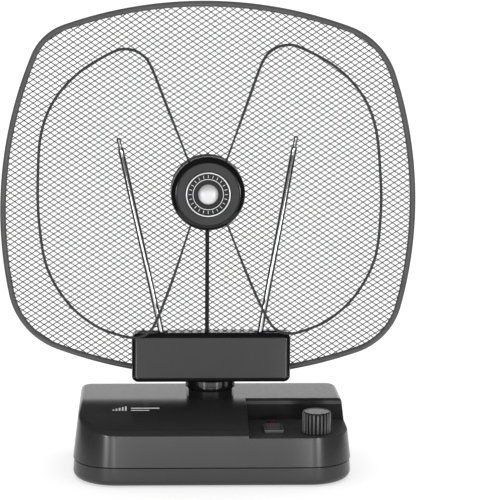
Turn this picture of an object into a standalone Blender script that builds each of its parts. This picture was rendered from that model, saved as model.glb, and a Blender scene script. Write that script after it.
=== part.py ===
"""Indoor television antenna: a weighted base with a gain control, and a swivelling head with two
telescopic rods, a pair of wire loops and a mesh reflector. Metres, +Z up, front towards -Y."""
import math

import bmesh
import bpy
from mathutils import Matrix, Vector

GAP = 0.0003                    # clearance between touching pieces

# Base
BASE_HALF_WIDTH = 0.0952
BASE_HALF_DEPTH = 0.051
BASE_FRONT_CORNER = 0.030
BASE_BACK_CORNER = 0.012
BASE_DRAFT = 0.12               # inward lean of the walls, per metre of height
BASE_WALL = 0.0023
SEAM_Z = 0.0136                 # joint between the two shells
ROOF_Z = 0.0489                 # flat rear part of the top
SLOPE_START_Y = 0.002           # the top curves down from here to the front
SLOPE_RADIUS = 0.1145
ROOF_EDGE = 0.0028
FLOOR_Z = 0.0006                # underside of the lower shell
FOOT_CENTRE = (0.0780, 0.0350)
FOOT_RADIUS = 0.0055
BOSS_CENTRE = (0.0810, 0.0180)
BOSS_RADIUS = 0.0038
RECESS_LEFT = 0.0240
RECESS_Z = 0.0337               # control panel's level
RECESS_BACK_FOOT_Y = -0.0005
RECESS_BACK_LEAN = 0.04         # run over rise of the recess's back wall

# Controls and sockets
KNOB_AT = (0.0706, -0.0335)
KNOB_RADIUS = 0.0097
KNOB_BOTTOM_Z = 0.0342
KNOB_TOP_Z = 0.0484
KNOB_RIBS = 22
SWITCH_AT = (0.0417, -0.0283)
ROCKER_PIVOT_Z = 0.0329
LED_AT = (0.0410, -0.0112)
BOARD_X = (-0.0100, 0.0766)
BOARD_Y = (-0.0415, 0.0400)
BOARD_Z = (0.0184, 0.0200)
BOARD_POSTS = ((0.0120, -0.0360), (0.0500, 0.0260))
DC_INLET_X = 0.0620
COAX_OUTLET_X = 0.0360
SOCKET_Z = 0.0264

# Neck
NECK_Y = 0.0140                 # swivel axis
NECK_RADIUS = 0.0174
STEM_RADIUS = 0.0098
TURRET_RADIUS = 0.0169
TURRET_TOP_Z = 0.0545

# Head box
BOX_HALF_WIDTH = 0.0549
BOX_Z = (0.0613, 0.0960)
BOX_CORNER = 0.0045
BOX_FRONT_Y = -0.0050
BOX_EDGE = 0.0032
BOX_WALL = 0.0020
REAR_HALF_WIDTH = 0.0470
REAR_TOP_Z = 0.0874
REAR_BACK_Y = 0.0310
HEAD_SCREW_X = 0.0400
HEAD_SCREW_Z = 0.0784

# Reflector
MESH_Y = 0.0100
MESH_THICKNESS = 0.0006
RIM_RADIUS = 0.0020
REFLECTOR_X = -0.0021            # the reflector stands a little left of the base's middle
REFLECTOR_CENTRE_Z = 0.1924
REFLECTOR_ROLL = math.radians(-1.16)
RIM_TOP = (0.0, 0.0313, 0.2917)           # centre X, centre Z and radius of each long arc
RIM_SIDE = (-0.1392, 0.1784, 0.2824)
RIM_BOTTOM = (0.0, 0.3717, 0.3092)
RIM_CORNERS = {"left": (0.0372, 0.0524), "right": (0.0524, 0.0464)}    # upper and lower radius
SLIT_HALF = 0.0006              # half the slit between the head's two covers, which holds the mesh
CELL_WIDTH = 0.0340
CELL_HEIGHT = 0.0227
STRAND = 0.0016
BORDER = 0.0018                 # solid edge of the mesh beside the rim

# Hub and wire loops
HUB_X = -0.0028                 # the hub stands a little left of the base's middle
HUB_Z = 0.1939
HUB_RADIUS = 0.0252
HUB_FRONT_Y = -0.0140
LOOP_Y = -0.0065
WIRE_RADIUS = 0.00080
LOOP_ROLL = math.radians(1.4)
LOOP_REACH = 0.050              # a loop takes up the hub's offset over this distance from it
LOOP_KEEP = 0.60                # share of the offset it has beyond there
LOOP_POINTS = (                 # right loop, X and Z, from the hub's upper exit round to the lower
    (0.0069, 0.2004), (0.0132, 0.2169), (0.0270, 0.2537), (0.0371, 0.2804), (0.0436, 0.2890),
    (0.0530, 0.2926), (0.0640, 0.2904), (0.0870, 0.2769), (0.1040, 0.2584), (0.1130, 0.2364),
    (0.1161, 0.2074), (0.1164, 0.1774), (0.1120, 0.1454), (0.0985, 0.1204), (0.0810, 0.1046),
    (0.0650, 0.0974), (0.0530, 0.0950), (0.0435, 0.0986), (0.0370, 0.1086), (0.0262, 0.1342),
    (0.0131, 0.1704), (0.0069, 0.1874))

# Rods
ROD_Y = 0.0020
ROD_PIVOT_X = 0.0326
ROD_PIVOT_Z = 0.0874
ROD_TILT = {"left": math.radians(-12.2), "right": math.radians(9.8)}
TUBE_RADII = ((0.00210, 0.00182), (0.00165, 0.00140), (0.00122, 0.00098), (0.00082, 0.0))
TUBE_BOTTOMS = (0.0083, 0.0140, 0.0170, 0.0200)
TUBE_TOP = 0.1392
TIP_TOP = 0.1468
SLOT_X = (0.0299, 0.0503)       # opening in the box's top that a rod swings in


# ---------------------------------------------------------------- modelling helpers

def clear_scene():
    for obj in list(bpy.data.objects):
        bpy.data.objects.remove(obj, do_unlink=True)


def material(name, colour, roughness, metallic=0.0):
    mat = bpy.data.materials.new(name)
    mat.use_nodes = True
    shader = mat.node_tree.nodes["Principled BSDF"]
    shader.inputs["Base Color"].default_value = (*colour, 1.0)
    shader.inputs["Roughness"].default_value = roughness
    shader.inputs["Metallic"].default_value = metallic
    return mat


def place(obj, parent):
    """Parents a piece whose mesh is in world coordinates to an empty that isn't turned."""
    if parent is not None:
        obj.parent = parent
        obj.location = -parent.location
    return obj


def solid(name, bm, mat, parent=None, smooth=35):
    """Turns a bmesh into a named object. A tilted parent takes the mesh in its own coordinates."""
    bmesh.ops.remove_doubles(bm, verts=bm.verts, dist=1e-7)
    bmesh.ops.recalc_face_normals(bm, faces=bm.faces)
    mesh = bpy.data.meshes.new(name)
    bm.to_mesh(mesh)
    bm.free()
    mesh.materials.append(mat)
    mesh.shade_smooth()
    mesh.set_sharp_from_angle(angle=math.radians(smooth))
    obj = bpy.data.objects.new(name, mesh)
    bpy.context.scene.collection.objects.link(obj)
    return place(obj, parent)


def cutter(name, bm):
    obj = solid(name, bm, MATERIALS["guide"])
    obj.hide_render = True
    obj.display_type = 'WIRE'
    return obj


def boolean(target, tool, operation='DIFFERENCE'):
    mod = target.modifiers.new(tool.name, 'BOOLEAN')
    mod.operation = operation
    mod.object = tool
    mod.solver = 'EXACT'
    return target


def empty(name, location, tilt=0.0, parent=None):
    obj = bpy.data.objects.new(name, None)
    bpy.context.scene.collection.objects.link(obj)
    obj.location = location
    obj.rotation_euler = (0.0, tilt, 0.0)
    if parent is not None:
        obj.parent = parent
        obj.location = Vector(location) - parent.location
    return obj


def bridge(bm, rings, closed=False):
    """Joins rings of equal length with faces. A ring of one vertex is a pole."""
    pairs = list(zip(rings, rings[1:]))
    if closed:
        pairs.append((rings[-1], rings[0]))
    for low, high in pairs:
        count = max(len(low), len(high))
        for i in range(count):
            j = (i + 1) % count
            corners = [low[i % len(low)], low[j % len(low)],
                       high[j % len(high)], high[i % len(high)]]
            face = list(dict.fromkeys(corners))
            if len(face) > 2:
                bm.faces.new(face)


def add_loft(bm, sections):
    """Closed solid through sections of equal length, with flat end faces."""
    rings = [[bm.verts.new(p) for p in section] for section in sections]
    bridge(bm, rings)
    bm.faces.new(rings[0])
    bm.faces.new(rings[-1])


def add_prism(bm, outline, low, high, axis='Z'):
    """Extrudes a flat outline along an axis: Z takes (x, y), Y takes (x, z), X takes (y, z)."""
    put = {'Z': lambda u, v, h: (u, v, h),
           'Y': lambda u, v, h: (u, h, v),
           'X': lambda u, v, h: (h, u, v)}[axis]
    add_loft(bm, [[put(u, v, h) for u, v in outline] for h in (low, high)])


def add_turned(bm, profile, centre=(0.0, 0.0, 0.0), axis='Z', segments=32, ring=False):
    """Turns a profile of (radius, height) about an axis. A ring's profile closes on itself."""
    turn = {'Z': Matrix.Identity(3), 'Y': Matrix.Rotation(math.radians(-90), 3, 'X')}[axis]
    rings = []
    for radius, height in profile:
        count = segments if radius > 0 else 1
        points = [Vector((radius * math.cos(a), radius * math.sin(a), height))
                  for a in (2 * math.pi * i / count for i in range(count))]
        rings.append([bm.verts.new(turn @ p + Vector(centre)) for p in points])
    bridge(bm, rings, closed=ring)
    if not ring:
        for end in (rings[0], rings[-1]):
            if len(end) > 2:
                bm.faces.new(end)


def add_cylinder(bm, radius, low, high, centre=(0.0, 0.0), axis='Z', segments=24):
    """Centre is (x, y) about Z, or (x, z) about Y."""
    at = (centre[0], centre[1], 0.0) if axis == 'Z' else (centre[0], 0.0, centre[1])
    add_turned(bm, [(radius, low), (radius, high)], at, axis, segments)


def add_box(bm, x, y, z):
    add_prism(bm, [(x[0], y[0]), (x[1], y[0]), (x[1], y[1]), (x[0], y[1])], z[0], z[1])


def rounded_rectangle(half_width, half_height, radius, segments=5, centre=(0.0, 0.0)):
    points = []
    for quarter, (sx, sy) in enumerate(((1, 1), (-1, 1), (-1, -1), (1, -1))):
        for i in range(segments + 1):
            angle = math.radians(90) * (quarter + i / segments)
            points.append((centre[0] + sx * (half_width - radius) + radius * math.cos(angle),
                           centre[1] + sy * (half_height - radius) + radius * math.sin(angle)))
    return points


def catmull_rom(points, steps, closed=False):
    """Smooth curve through the points."""
    pts = [Vector(p) for p in points]
    ends = (pts[-1], pts[0], pts[1]) if closed else (2 * pts[0] - pts[1], 2 * pts[-1] - pts[-2])
    line = [ends[0]] + pts + list(ends[1:])
    curve = []
    for a, b, c, d in zip(line, line[1:], line[2:], line[3:]):
        for i in range(steps):
            t = i / steps
            curve.append(0.5 * (2 * b + (c - a) * t + (2 * a - 5 * b + 4 * c - d) * t * t
                                + (3 * b - a - 3 * c + d) * t ** 3))
    if not closed:
        curve.append(pts[-1])
    return curve


def tube(name, points, radius, mat, parent=None, cyclic=False):
    """Round wire along a list of points."""
    curve = bpy.data.curves.new(name, 'CURVE')
    curve.dimensions = '3D'
    curve.bevel_depth = radius
    curve.bevel_resolution = 2
    curve.use_fill_caps = not cyclic
    curve.render_resolution_u = 0
    spline = curve.splines.new('POLY')
    spline.points.add(len(points) - 1)
    for point, co in zip(spline.points, points):
        point.co = (*co, 1.0)
    spline.use_cyclic_u = cyclic
    curve.materials.append(mat)
    obj = bpy.data.objects.new(name, curve)
    bpy.context.scene.collection.objects.link(obj)
    return place(obj, parent)


# ---------------------------------------------------------------- base

def roof_z(y):
    """Height of the base's top, flat at the back and curving down to the front."""
    ahead = max(0.0, SLOPE_START_Y - y)
    return ROOF_Z - (SLOPE_RADIUS - math.sqrt(SLOPE_RADIUS ** 2 - ahead ** 2))


def base_side(inset, corner_steps=5):
    """Left half of the base's plan outline, from the front to the back."""
    half_width = BASE_HALF_WIDTH - inset
    half_depth = BASE_HALF_DEPTH - inset
    front = BASE_FRONT_CORNER - inset
    back = BASE_BACK_CORNER - inset
    points = []
    for i in range(corner_steps + 1):
        angle = math.radians(90) * i / corner_steps
        points.append((-(half_width - front) - front * math.sin(angle),
                       -(half_depth - front) - front * math.cos(angle)))
    for share in (0.2, 0.4, 0.6, 0.8):
        points.append((-half_width, -(half_depth - front) + (2 * half_depth - front - back) * share))
    for i in range(corner_steps + 1):
        angle = math.radians(90) * i / corner_steps
        points.append((-(half_width - back) - back * math.cos(angle),
                       half_depth - back + back * math.sin(angle)))
    return points


def add_upper_form(bm, inset, bottom_z, drop, edge):
    """Closed form of the upper shell, or of the hollow in it when inset and dropped."""
    seam = base_side(inset)
    columns = []
    for i, (x, y) in enumerate(seam):
        wall_top = roof_z(y) - drop - edge
        lean = BASE_DRAFT * (wall_top - SEAM_Z)
        column = [Vector((x, y, bottom_z))]
        for share in (0, 30, 60, 90):
            angle = math.radians(share)
            px, py = base_side(inset + lean + edge * (1 - math.cos(angle)))[i]
            column.append(Vector((px, py, roof_z(py) - drop - edge * (1 - math.sin(angle)))))
        columns.append(column)
    levels = []
    for level in zip(*columns):
        left = [bm.verts.new(p) for p in level]
        right = [bm.verts.new((-p.x, p.y, p.z)) for p in reversed(level)]
        levels.append(left + right)
    bridge(bm, levels)
    bm.faces.new(levels[0])
    top = levels[-1]
    for i in range(len(seam) - 1):
        bm.faces.new((top[i], top[i + 1], top[-2 - i], top[-1 - i]))


def add_recess(bm, margin):
    """Space above the control panel, grown by a margin to leave the shell its wall."""
    floor = RECESS_Z - margin
    foot = RECESS_BACK_FOOT_Y + margin
    high = 0.070
    outline = [(-0.070, floor), (foot, floor),
               (foot + RECESS_BACK_LEAN * (high - floor), high), (-0.070, high)]
    add_prism(bm, outline, RECESS_LEFT - margin, 0.120, 'X')


def mirrored_spots(x, y):
    return [(sx * x, sy * y) for sx in (-1, 1) for sy in (-1, 1)]


def base_upper_shell():
    bm = bmesh.new()
    add_upper_form(bm, 0.0, SEAM_Z + GAP, 0.0, ROOF_EDGE)
    shell = solid("base_upper_shell", bm, MATERIALS["housing"])

    bm = bmesh.new()
    add_recess(bm, 0.0)
    boolean(shell, cutter("recess_cutter", bm))

    bm = bmesh.new()
    add_turned(bm, [(TURRET_RADIUS, ROOF_Z - 0.0010), (TURRET_RADIUS, TURRET_TOP_Z - 0.0006),
                    (TURRET_RADIUS - 0.0006, TURRET_TOP_Z)], (0.0, NECK_Y, 0.0), segments=32)
    boolean(shell, cutter("turret_form", bm), 'UNION')

    bm = bmesh.new()
    add_upper_form(bm, BASE_WALL, SEAM_Z - 0.003, BASE_WALL, 0.0010)
    hollow = cutter("upper_hollow_cutter", bm)
    bm = bmesh.new()
    add_recess(bm, 0.0020)
    boolean(hollow, cutter("recess_wall_form", bm))
    boolean(shell, hollow)

    bm = bmesh.new()
    for x, y in mirrored_spots(*BOSS_CENTRE):
        top = RECESS_Z - 0.0010 if x > 0 and y < 0 else roof_z(y - BOSS_RADIUS) - 0.0005
        add_cylinder(bm, BOSS_RADIUS, SEAM_Z + GAP, top, (x, y), segments=16)
    boolean(shell, cutter("upper_bosses_form", bm), 'UNION')

    bm = bmesh.new()
    for x, y in mirrored_spots(*BOSS_CENTRE):
        add_cylinder(bm, 0.0016, SEAM_Z - 0.002, 0.0284, (x, y), segments=12)
    add_cylinder(bm, STEM_RADIUS + GAP, ROOF_Z - 0.006, TURRET_TOP_Z + 0.002, (0.0, NECK_Y), segments=32)
    add_cylinder(bm, 0.0050, RECESS_Z - 0.0043, RECESS_Z + 0.0017, KNOB_AT)
    add_cylinder(bm, 0.0028, RECESS_Z - 0.0043, RECESS_Z + 0.0017, LED_AT, segments=16)
    add_box(bm, (SWITCH_AT[0] - 0.0061, SWITCH_AT[0] + 0.0061),
            (SWITCH_AT[1] - 0.0083, SWITCH_AT[1] + 0.0083), (RECESS_Z - 0.0043, RECESS_Z + 0.0017))
    add_cylinder(bm, 0.0052, 0.0420, 0.0540, (DC_INLET_X, SOCKET_Z), axis='Y')
    add_cylinder(bm, 0.0063, 0.0420, 0.0540, (COAX_OUTLET_X, SOCKET_Z), axis='Y')
    boolean(shell, cutter("upper_holes_cutter", bm))


def base_lower_shell():
    def level(inset, z):
        left = base_side(inset)
        return [(x, y, z) for x, y in left] + [(-x, y, z) for x, y in reversed(left)]

    edge = 0.0045
    bm = bmesh.new()
    rounding = [(edge * (1 - math.cos(a)), FLOOR_Z + edge * (1 - math.sin(a)))
                for a in map(math.radians, (90, 60, 30, 0))]
    add_loft(bm, [level(inset, z) for inset, z in rounding] + [level(0.0006, SEAM_Z)])
    shell = solid("base_lower_shell", bm, MATERIALS["housing"])

    bm = bmesh.new()
    add_loft(bm, [level(0.0050, FLOOR_Z + 0.0025), level(0.0030, 0.0060), level(0.0030, SEAM_Z + 0.002)])
    boolean(shell, cutter("lower_hollow_cutter", bm))

    bm = bmesh.new()
    for x, y in mirrored_spots(*BOSS_CENTRE):
        add_cylinder(bm, 0.0045, FLOOR_Z + 0.001, SEAM_Z, (x, y), segments=12)
    for x, y in BOARD_POSTS:
        add_cylinder(bm, 0.0030, FLOOR_Z + 0.001, BOARD_Z[0] - GAP, (x, y), segments=12)
    boolean(shell, cutter("lower_posts_form", bm), 'UNION')

    bm = bmesh.new()
    for x, y in mirrored_spots(*BOSS_CENTRE):
        add_turned(bm, [(0.0031, 0.0), (0.0031, 0.0099), (0.0016, 0.0099), (0.0016, 0.0164)],
                   (x, y, 0.0), segments=12)
    for x, y in mirrored_spots(*FOOT_CENTRE):
        add_cylinder(bm, FOOT_RADIUS + GAP, 0.0, FLOOR_Z + 0.0010, (x, y), segments=20)
    for x, y in BOARD_POSTS:
        add_cylinder(bm, 0.0013, 0.0104, 0.0224, (x, y), segments=12)
    boolean(shell, cutter("lower_holes_cutter", bm))


def screw(name, head_radius, head_depth, shank_radius, length, location, tilt=(0.0, 0.0, 0.0), parent=None):
    """Pan-head screw with a driver recess. The shank runs up +Z from the head's bearing face."""
    bm = bmesh.new()
    add_turned(bm, [(0.0, -head_depth * 0.45), (head_radius * 0.35, -head_depth),
                    (head_radius * 0.8, -head_depth), (head_radius, -head_depth * 0.6),
                    (head_radius, 0.0), (shank_radius, 0.0), (shank_radius, length - shank_radius),
                    (0.0, length)], segments=12)
    obj = solid(name, bm, MATERIALS["steel"])
    obj.location = location
    obj.rotation_euler = tilt
    if parent is not None:
        obj.parent = parent
        obj.location = Vector(location) - parent.location
    return obj


def base_fittings():
    corners = ("back_left", "front_left", "front_right", "back_right")
    spots = [(-1, 1), (-1, -1), (1, -1), (1, 1)]
    for corner, (sx, sy) in zip(corners, spots):
        bm = bmesh.new()
        add_turned(bm, [(FOOT_RADIUS - 0.0004, 0.0), (FOOT_RADIUS, 0.0004), (FOOT_RADIUS, FLOOR_Z + 0.0007)],
                   (sx * FOOT_CENTRE[0], sy * FOOT_CENTRE[1], 0.0), segments=20)
        solid("foot_" + corner, bm, MATERIALS["rubber"])
        screw("base_screw_" + corner, 0.0027, 0.0019, 0.0012, 0.0165,
              (sx * BOSS_CENTRE[0], sy * BOSS_CENTRE[1], 0.0099 - GAP))

    bm = bmesh.new()
    add_prism(bm, rounded_rectangle(0.0450, 0.0260, 0.004, 3, (-0.0270, 0.0)), 0.0036, 0.0091)
    solid("ballast_plate", bm, MATERIALS["steel"])


def electronics():
    bm = bmesh.new()
    add_box(bm, BOARD_X, BOARD_Y, BOARD_Z)
    board = solid("amplifier_board", bm, MATERIALS["board"])
    bm = bmesh.new()
    for x, y in BOARD_POSTS:
        add_cylinder(bm, 0.0014, BOARD_Z[0] - 0.001, BOARD_Z[1] + 0.001, (x, y), segments=12)
    boolean(board, cutter("board_holes_cutter", bm))
    for number, (x, y) in enumerate(BOARD_POSTS, 1):
        screw("board_screw_%d" % number, 0.0025, 0.0016, 0.0010, 0.0080, (x, y, BOARD_Z[1] + GAP),
              (math.pi, 0.0, 0.0))

    above = BOARD_Z[1] + GAP
    for name, x, mouth, bore, contact, nose in (
            ("dc_inlet", DC_INLET_X, 0.0495, 0.0031, 0.0010, 0.0049),
            ("coax_outlet", COAX_OUTLET_X, 0.0503, 0.0047, 0.0015, 0.0060)):
        block = SOCKET_Z - above
        bm = bmesh.new()
        add_turned(bm, [(0.0, 0.0330), (block, 0.0330), (block, 0.0450), (nose, 0.0450), (nose, mouth),
                        (bore, mouth), (bore, 0.0395), (contact, 0.0395), (contact, mouth - 0.0015),
                        (0.0, mouth - 0.0010)], (x, 0.0, SOCKET_Z), 'Y', 20)
        solid(name, bm, MATERIALS["socket"])

    bm = bmesh.new()
    add_turned(bm, [(0.0034, above), (0.0034, 0.0239), (0.0024, 0.0254)], (0.0, NECK_Y, 0.0), segments=16)
    solid("lead_socket", bm, MATERIALS["brass"])

    bm = bmesh.new()
    add_turned(bm, [(0.0017, above), (0.0017, 0.0309), (0.0025, 0.0312), (0.0025, 0.0342), (0.0021, 0.0354),
                    (0.0012, 0.0361), (0.0, 0.0363)], (*LED_AT, 0.0), segments=16)
    solid("power_led", bm, MATERIALS["led"])


def gain_control():
    x, y = KNOB_AT
    above = BOARD_Z[1] + GAP
    bm = bmesh.new()
    add_box(bm, (x - 0.0074, x + 0.0074), (y - 0.0074, y + 0.0074), (above, 0.0279))
    pot = solid("gain_pot_body", bm, MATERIALS["socket"])
    bm = bmesh.new()
    add_cylinder(bm, 0.0046, 0.0254, 0.0335, KNOB_AT)
    boolean(pot, cutter("pot_bushing_form", bm), 'UNION')
    bm = bmesh.new()
    add_cylinder(bm, 0.0032, 0.0236, 0.0354, KNOB_AT, segments=20)
    boolean(pot, cutter("pot_bore_cutter", bm))

    axis = empty("gain_axis", (x, y, 0.0))
    bm = bmesh.new()
    add_turned(bm, [(0.0029, 0.0239), (0.0029, 0.0429), (0.0024, 0.0434)], (x, y, 0.0), segments=20)
    solid("gain_pot_shaft", bm, MATERIALS["steel"], axis)

    def ribbed(scale, z):
        """Round outline with a shallow groove between each two ribs."""
        points = []
        for i in range(KNOB_RIBS * 4):
            angle = 2 * math.pi * i / (KNOB_RIBS * 4)
            radius = scale * (KNOB_RADIUS if i % 4 in (1, 2) else KNOB_RADIUS - 0.0007)
            points.append((x + radius * math.cos(angle), y + radius * math.sin(angle), z))
        return points

    bm = bmesh.new()
    add_loft(bm, [ribbed(1.0, KNOB_BOTTOM_Z), ribbed(1.0, KNOB_TOP_Z - 0.0012), ribbed(0.90, KNOB_TOP_Z)])
    knob = solid("gain_knob", bm, MATERIALS["knob"], axis, smooth=20)
    bm = bmesh.new()
    add_cylinder(bm, 0.0032, 0.0324, 0.0437, KNOB_AT, segments=20)
    boolean(knob, cutter("knob_bore_cutter", bm))


def power_switch():
    x, y = SWITCH_AT
    bm = bmesh.new()
    add_prism(bm, rounded_rectangle(0.0067, 0.0087, 0.0008, 2, SWITCH_AT), RECESS_Z + GAP, RECESS_Z + 0.0023)
    body = solid("power_switch_body", bm, MATERIALS["socket"])
    bm = bmesh.new()
    add_box(bm, (x - 0.0058, x + 0.0058), (y - 0.0080, y + 0.0080), (BOARD_Z[1] + GAP, RECESS_Z + 0.0012))
    boolean(body, cutter("switch_can_form", bm), 'UNION')
    bm = bmesh.new()
    add_box(bm, (x - 0.0052, x + 0.0052), (y - 0.0073, y + 0.0073), (ROCKER_PIVOT_Z - 0.0056, 0.0380))
    boolean(body, cutter("switch_pocket_cutter", bm))

    axis = empty("rocker_axis", (x, y, ROCKER_PIVOT_Z))
    reach = 0.0070
    low_corner = math.asin(0.0028 / reach)
    high_corner = math.asin(0.0044 / reach)
    arc = [math.radians(-30) + (high_corner + math.radians(30)) * i / 4 for i in range(5)]
    near = [math.pi - low_corner + (low_corner + math.radians(30)) * i / 4 for i in range(5)]
    outline = [(reach * math.cos(a), reach * math.sin(a)) for a in arc]
    outline.append((0.0, 0.0028))
    outline += [(reach * math.cos(a), reach * math.sin(a)) for a in near]
    bm = bmesh.new()
    add_prism(bm, [(y + v, ROCKER_PIVOT_Z + w) for v, w in outline], x - 0.0049, x + 0.0049, 'X')
    solid("power_rocker", bm, MATERIALS["knob"], axis)


# ---------------------------------------------------------------- neck and head box

def swivel(head):
    centre = (0.0, NECK_Y, 0.0)
    low = TURRET_TOP_Z + GAP
    top = BOX_Z[0] - GAP
    bm = bmesh.new()
    add_turned(bm, [(STEM_RADIUS, 0.0392), (STEM_RADIUS, low), (NECK_RADIUS - 0.0006, low),
                    (NECK_RADIUS, low + 0.0006), (NECK_RADIUS, top), (0.0040, top), (0.0040, 0.0392)],
               centre, segments=32, ring=True)
    solid("swivel_collar", bm, MATERIALS["gloss"], head)
    bm = bmesh.new()
    add_turned(bm, [(STEM_RADIUS + GAP, 0.0410), (0.0139, 0.0410), (0.0139, 0.0454), (0.0125, 0.0462),
                    (STEM_RADIUS + GAP, 0.0462)], centre, segments=24, ring=True)
    solid("swivel_nut", bm, MATERIALS["brass"], head)


def box_section(inset, y, half_width=BOX_HALF_WIDTH, z=BOX_Z, radius=BOX_CORNER):
    mid, half = (z[0] + z[1]) / 2, (z[1] - z[0]) / 2
    outline = rounded_rectangle(half_width - inset, half - inset, max(radius - inset, 0.0012), 4, (0.0, mid))
    return [(x, y, height) for x, height in outline]


def rim_clearance():
    """Channel through the head's covers for the reflector's rim."""
    lower = [Vector(p) for p in reflector_outline(RIM_RADIUS) if p[2] < 0.087 and abs(p[0]) < 0.075]
    points = sorted(lower, key=lambda p: p.x)
    across = Vector((0.0, 1.0, 0.0))
    radius = RIM_RADIUS + 0.0004
    rings = []
    for before, point, after in zip(points[:1] + points, points, points[1:] + points[-1:]):
        up = (after - before).normalized().cross(across)
        rings.append([point + radius * (math.cos(a) * up + math.sin(a) * across)
                      for a in (math.pi * k / 6 for k in range(12))])
    bm = bmesh.new()
    add_loft(bm, rings)
    return cutter("rim_channel_cutter", bm)


def head_box(head):
    channel = rim_clearance()
    rear_edge = MESH_Y - SLIT_HALF
    rounding = [(BOX_EDGE * (1 - math.sin(a)), BOX_FRONT_Y + BOX_EDGE * (1 - math.cos(a)))
                for a in map(math.radians, (0, 30, 60, 90))]
    bm = bmesh.new()
    add_loft(bm, [box_section(inset, y) for inset, y in rounding] + [box_section(0.0, rear_edge)])
    front = solid("head_front_shell", bm, MATERIALS["housing"], head)
    bm = bmesh.new()
    add_loft(bm, [box_section(BOX_WALL, BOX_FRONT_Y + 0.0022), box_section(BOX_WALL, 0.020)])
    boolean(front, cutter("front_hollow_cutter", bm))
    bm = bmesh.new()
    for side in (-1, 1):
        add_cylinder(bm, 0.0030, BOX_FRONT_Y + 0.0010, 0.0063, (side * HEAD_SCREW_X, HEAD_SCREW_Z), 'Y', 16)
    boolean(front, cutter("front_bosses_form", bm), 'UNION')
    bm = bmesh.new()
    for side in (-1, 1):
        add_cylinder(bm, 0.0016, BOX_FRONT_Y + 0.0040, 0.0100, (side * HEAD_SCREW_X, HEAD_SCREW_Z), 'Y', 12)
        ends = sorted(side * x for x in SLOT_X)
        add_box(bm, ends, (ROD_Y - 0.0026, ROD_Y + 0.0026), (0.0925, 0.0985))
    add_cylinder(bm, 0.0017, 0.0920, 0.0990, (HUB_X, ROD_Y), segments=12)
    boolean(front, cutter("front_holes_cutter", bm))
    boolean(front, channel)

    plate_z = (0.0709, BOX_Z[1] - BOX_WALL - GAP)
    plate = BOX_HALF_WIDTH - BOX_WALL - GAP
    bm = bmesh.new()
    add_loft(bm, [box_section(0.0, y, plate, plate_z, 0.0022) for y in (0.0066, 0.0086)])
    back = solid("head_back_plate", bm, MATERIALS["socket"], head)
    bm = bmesh.new()
    for side in (-1, 1):
        add_cylinder(bm, 0.0016, 0.0050, 0.0100, (side * HEAD_SCREW_X, HEAD_SCREW_Z), 'Y', 12)
    boolean(back, cutter("back_holes_cutter", bm))

    rear_z = (BOX_Z[0], REAR_TOP_Z)
    front_edge = MESH_Y + SLIT_HALF
    edge = 0.0040
    rounding = [(edge * (1 - math.sin(a)), REAR_BACK_Y - edge * (1 - math.cos(a)))
                for a in map(math.radians, (90, 60, 30, 0))]
    bm = bmesh.new()
    add_loft(bm, [box_section(0.0, front_edge, REAR_HALF_WIDTH, rear_z)]
             + [box_section(inset, y, REAR_HALF_WIDTH, rear_z, 0.0060) for inset, y in rounding])
    rear = solid("head_rear_cover", bm, MATERIALS["housing"], head)
    bm = bmesh.new()
    add_loft(bm, [box_section(BOX_WALL, y, REAR_HALF_WIDTH, rear_z) for y in (0.0050, REAR_BACK_Y - 0.0022)])
    boolean(rear, cutter("rear_hollow_cutter", bm))
    bm = bmesh.new()
    for side in (-1, 1):
        add_cylinder(bm, 0.0044, front_edge, REAR_BACK_Y - 0.0010, (side * HEAD_SCREW_X, HEAD_SCREW_Z),
                     'Y', 14)
    boolean(rear, cutter("rear_bosses_form", bm), 'UNION')
    bm = bmesh.new()
    for side in (-1, 1):
        add_turned(bm, [(0.0016, 0.0080), (0.0016, 0.0260), (0.0031, 0.0260), (0.0031, 0.0340)],
                   (side * HEAD_SCREW_X, 0.0, HEAD_SCREW_Z), 'Y', 16)
    add_cylinder(bm, 0.0040, 0.0600, 0.0650, (0.0, NECK_Y), segments=20)
    boolean(rear, cutter("rear_holes_cutter", bm))
    boolean(rear, channel)

    for side, name in ((-1, "left"), (1, "right")):
        screw("head_screw_" + name, 0.0027, 0.0018, 0.0012, 0.0255,
              (side * HEAD_SCREW_X, 0.0260 + GAP, HEAD_SCREW_Z), (math.radians(90), 0.0, 0.0), head)

    bm = bmesh.new()
    add_box(bm, (-0.0180, 0.0180), (0.0200, 0.0216), (0.0669, 0.0839))
    solid("matching_board", bm, MATERIALS["board"], head)
    route = [(0.0, NECK_Y, 0.0257), (0.0, NECK_Y, 0.0390), (0.0, NECK_Y, 0.0520), (0.0, NECK_Y, 0.0630),
             (0.0, 0.0143, 0.0684), (0.0, 0.0155, 0.0729), (0.0, 0.0172, 0.0752), (0.0, 0.0194, 0.0757)]
    tube("inner_lead", catmull_rom(route, 3), 0.0013, MATERIALS["rubber"], head)


# ---------------------------------------------------------------- reflector

def fillet_centre(one, two, radius):
    """Centre of an arc that touches two larger circles, (x, z, radius), from inside."""
    (x1, z1, r1), (x2, z2, r2) = one, two
    d1, d2 = r1 - radius, r2 - radius
    gap = math.hypot(x2 - x1, z2 - z1)
    along = (d1 * d1 - d2 * d2 + gap * gap) / (2 * gap)
    off = math.sqrt(d1 * d1 - along * along)
    ux, uz = (x2 - x1) / gap, (z2 - z1) / gap
    spots = [(x1 + along * ux - s * off * uz, z1 + along * uz + s * off * ux) for s in (-1, 1)]
    return max(spots, key=lambda p: p[0])


def bearing(x, z, centre_x, centre_z):
    return math.atan2(z - centre_z, x - centre_x)


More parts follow.
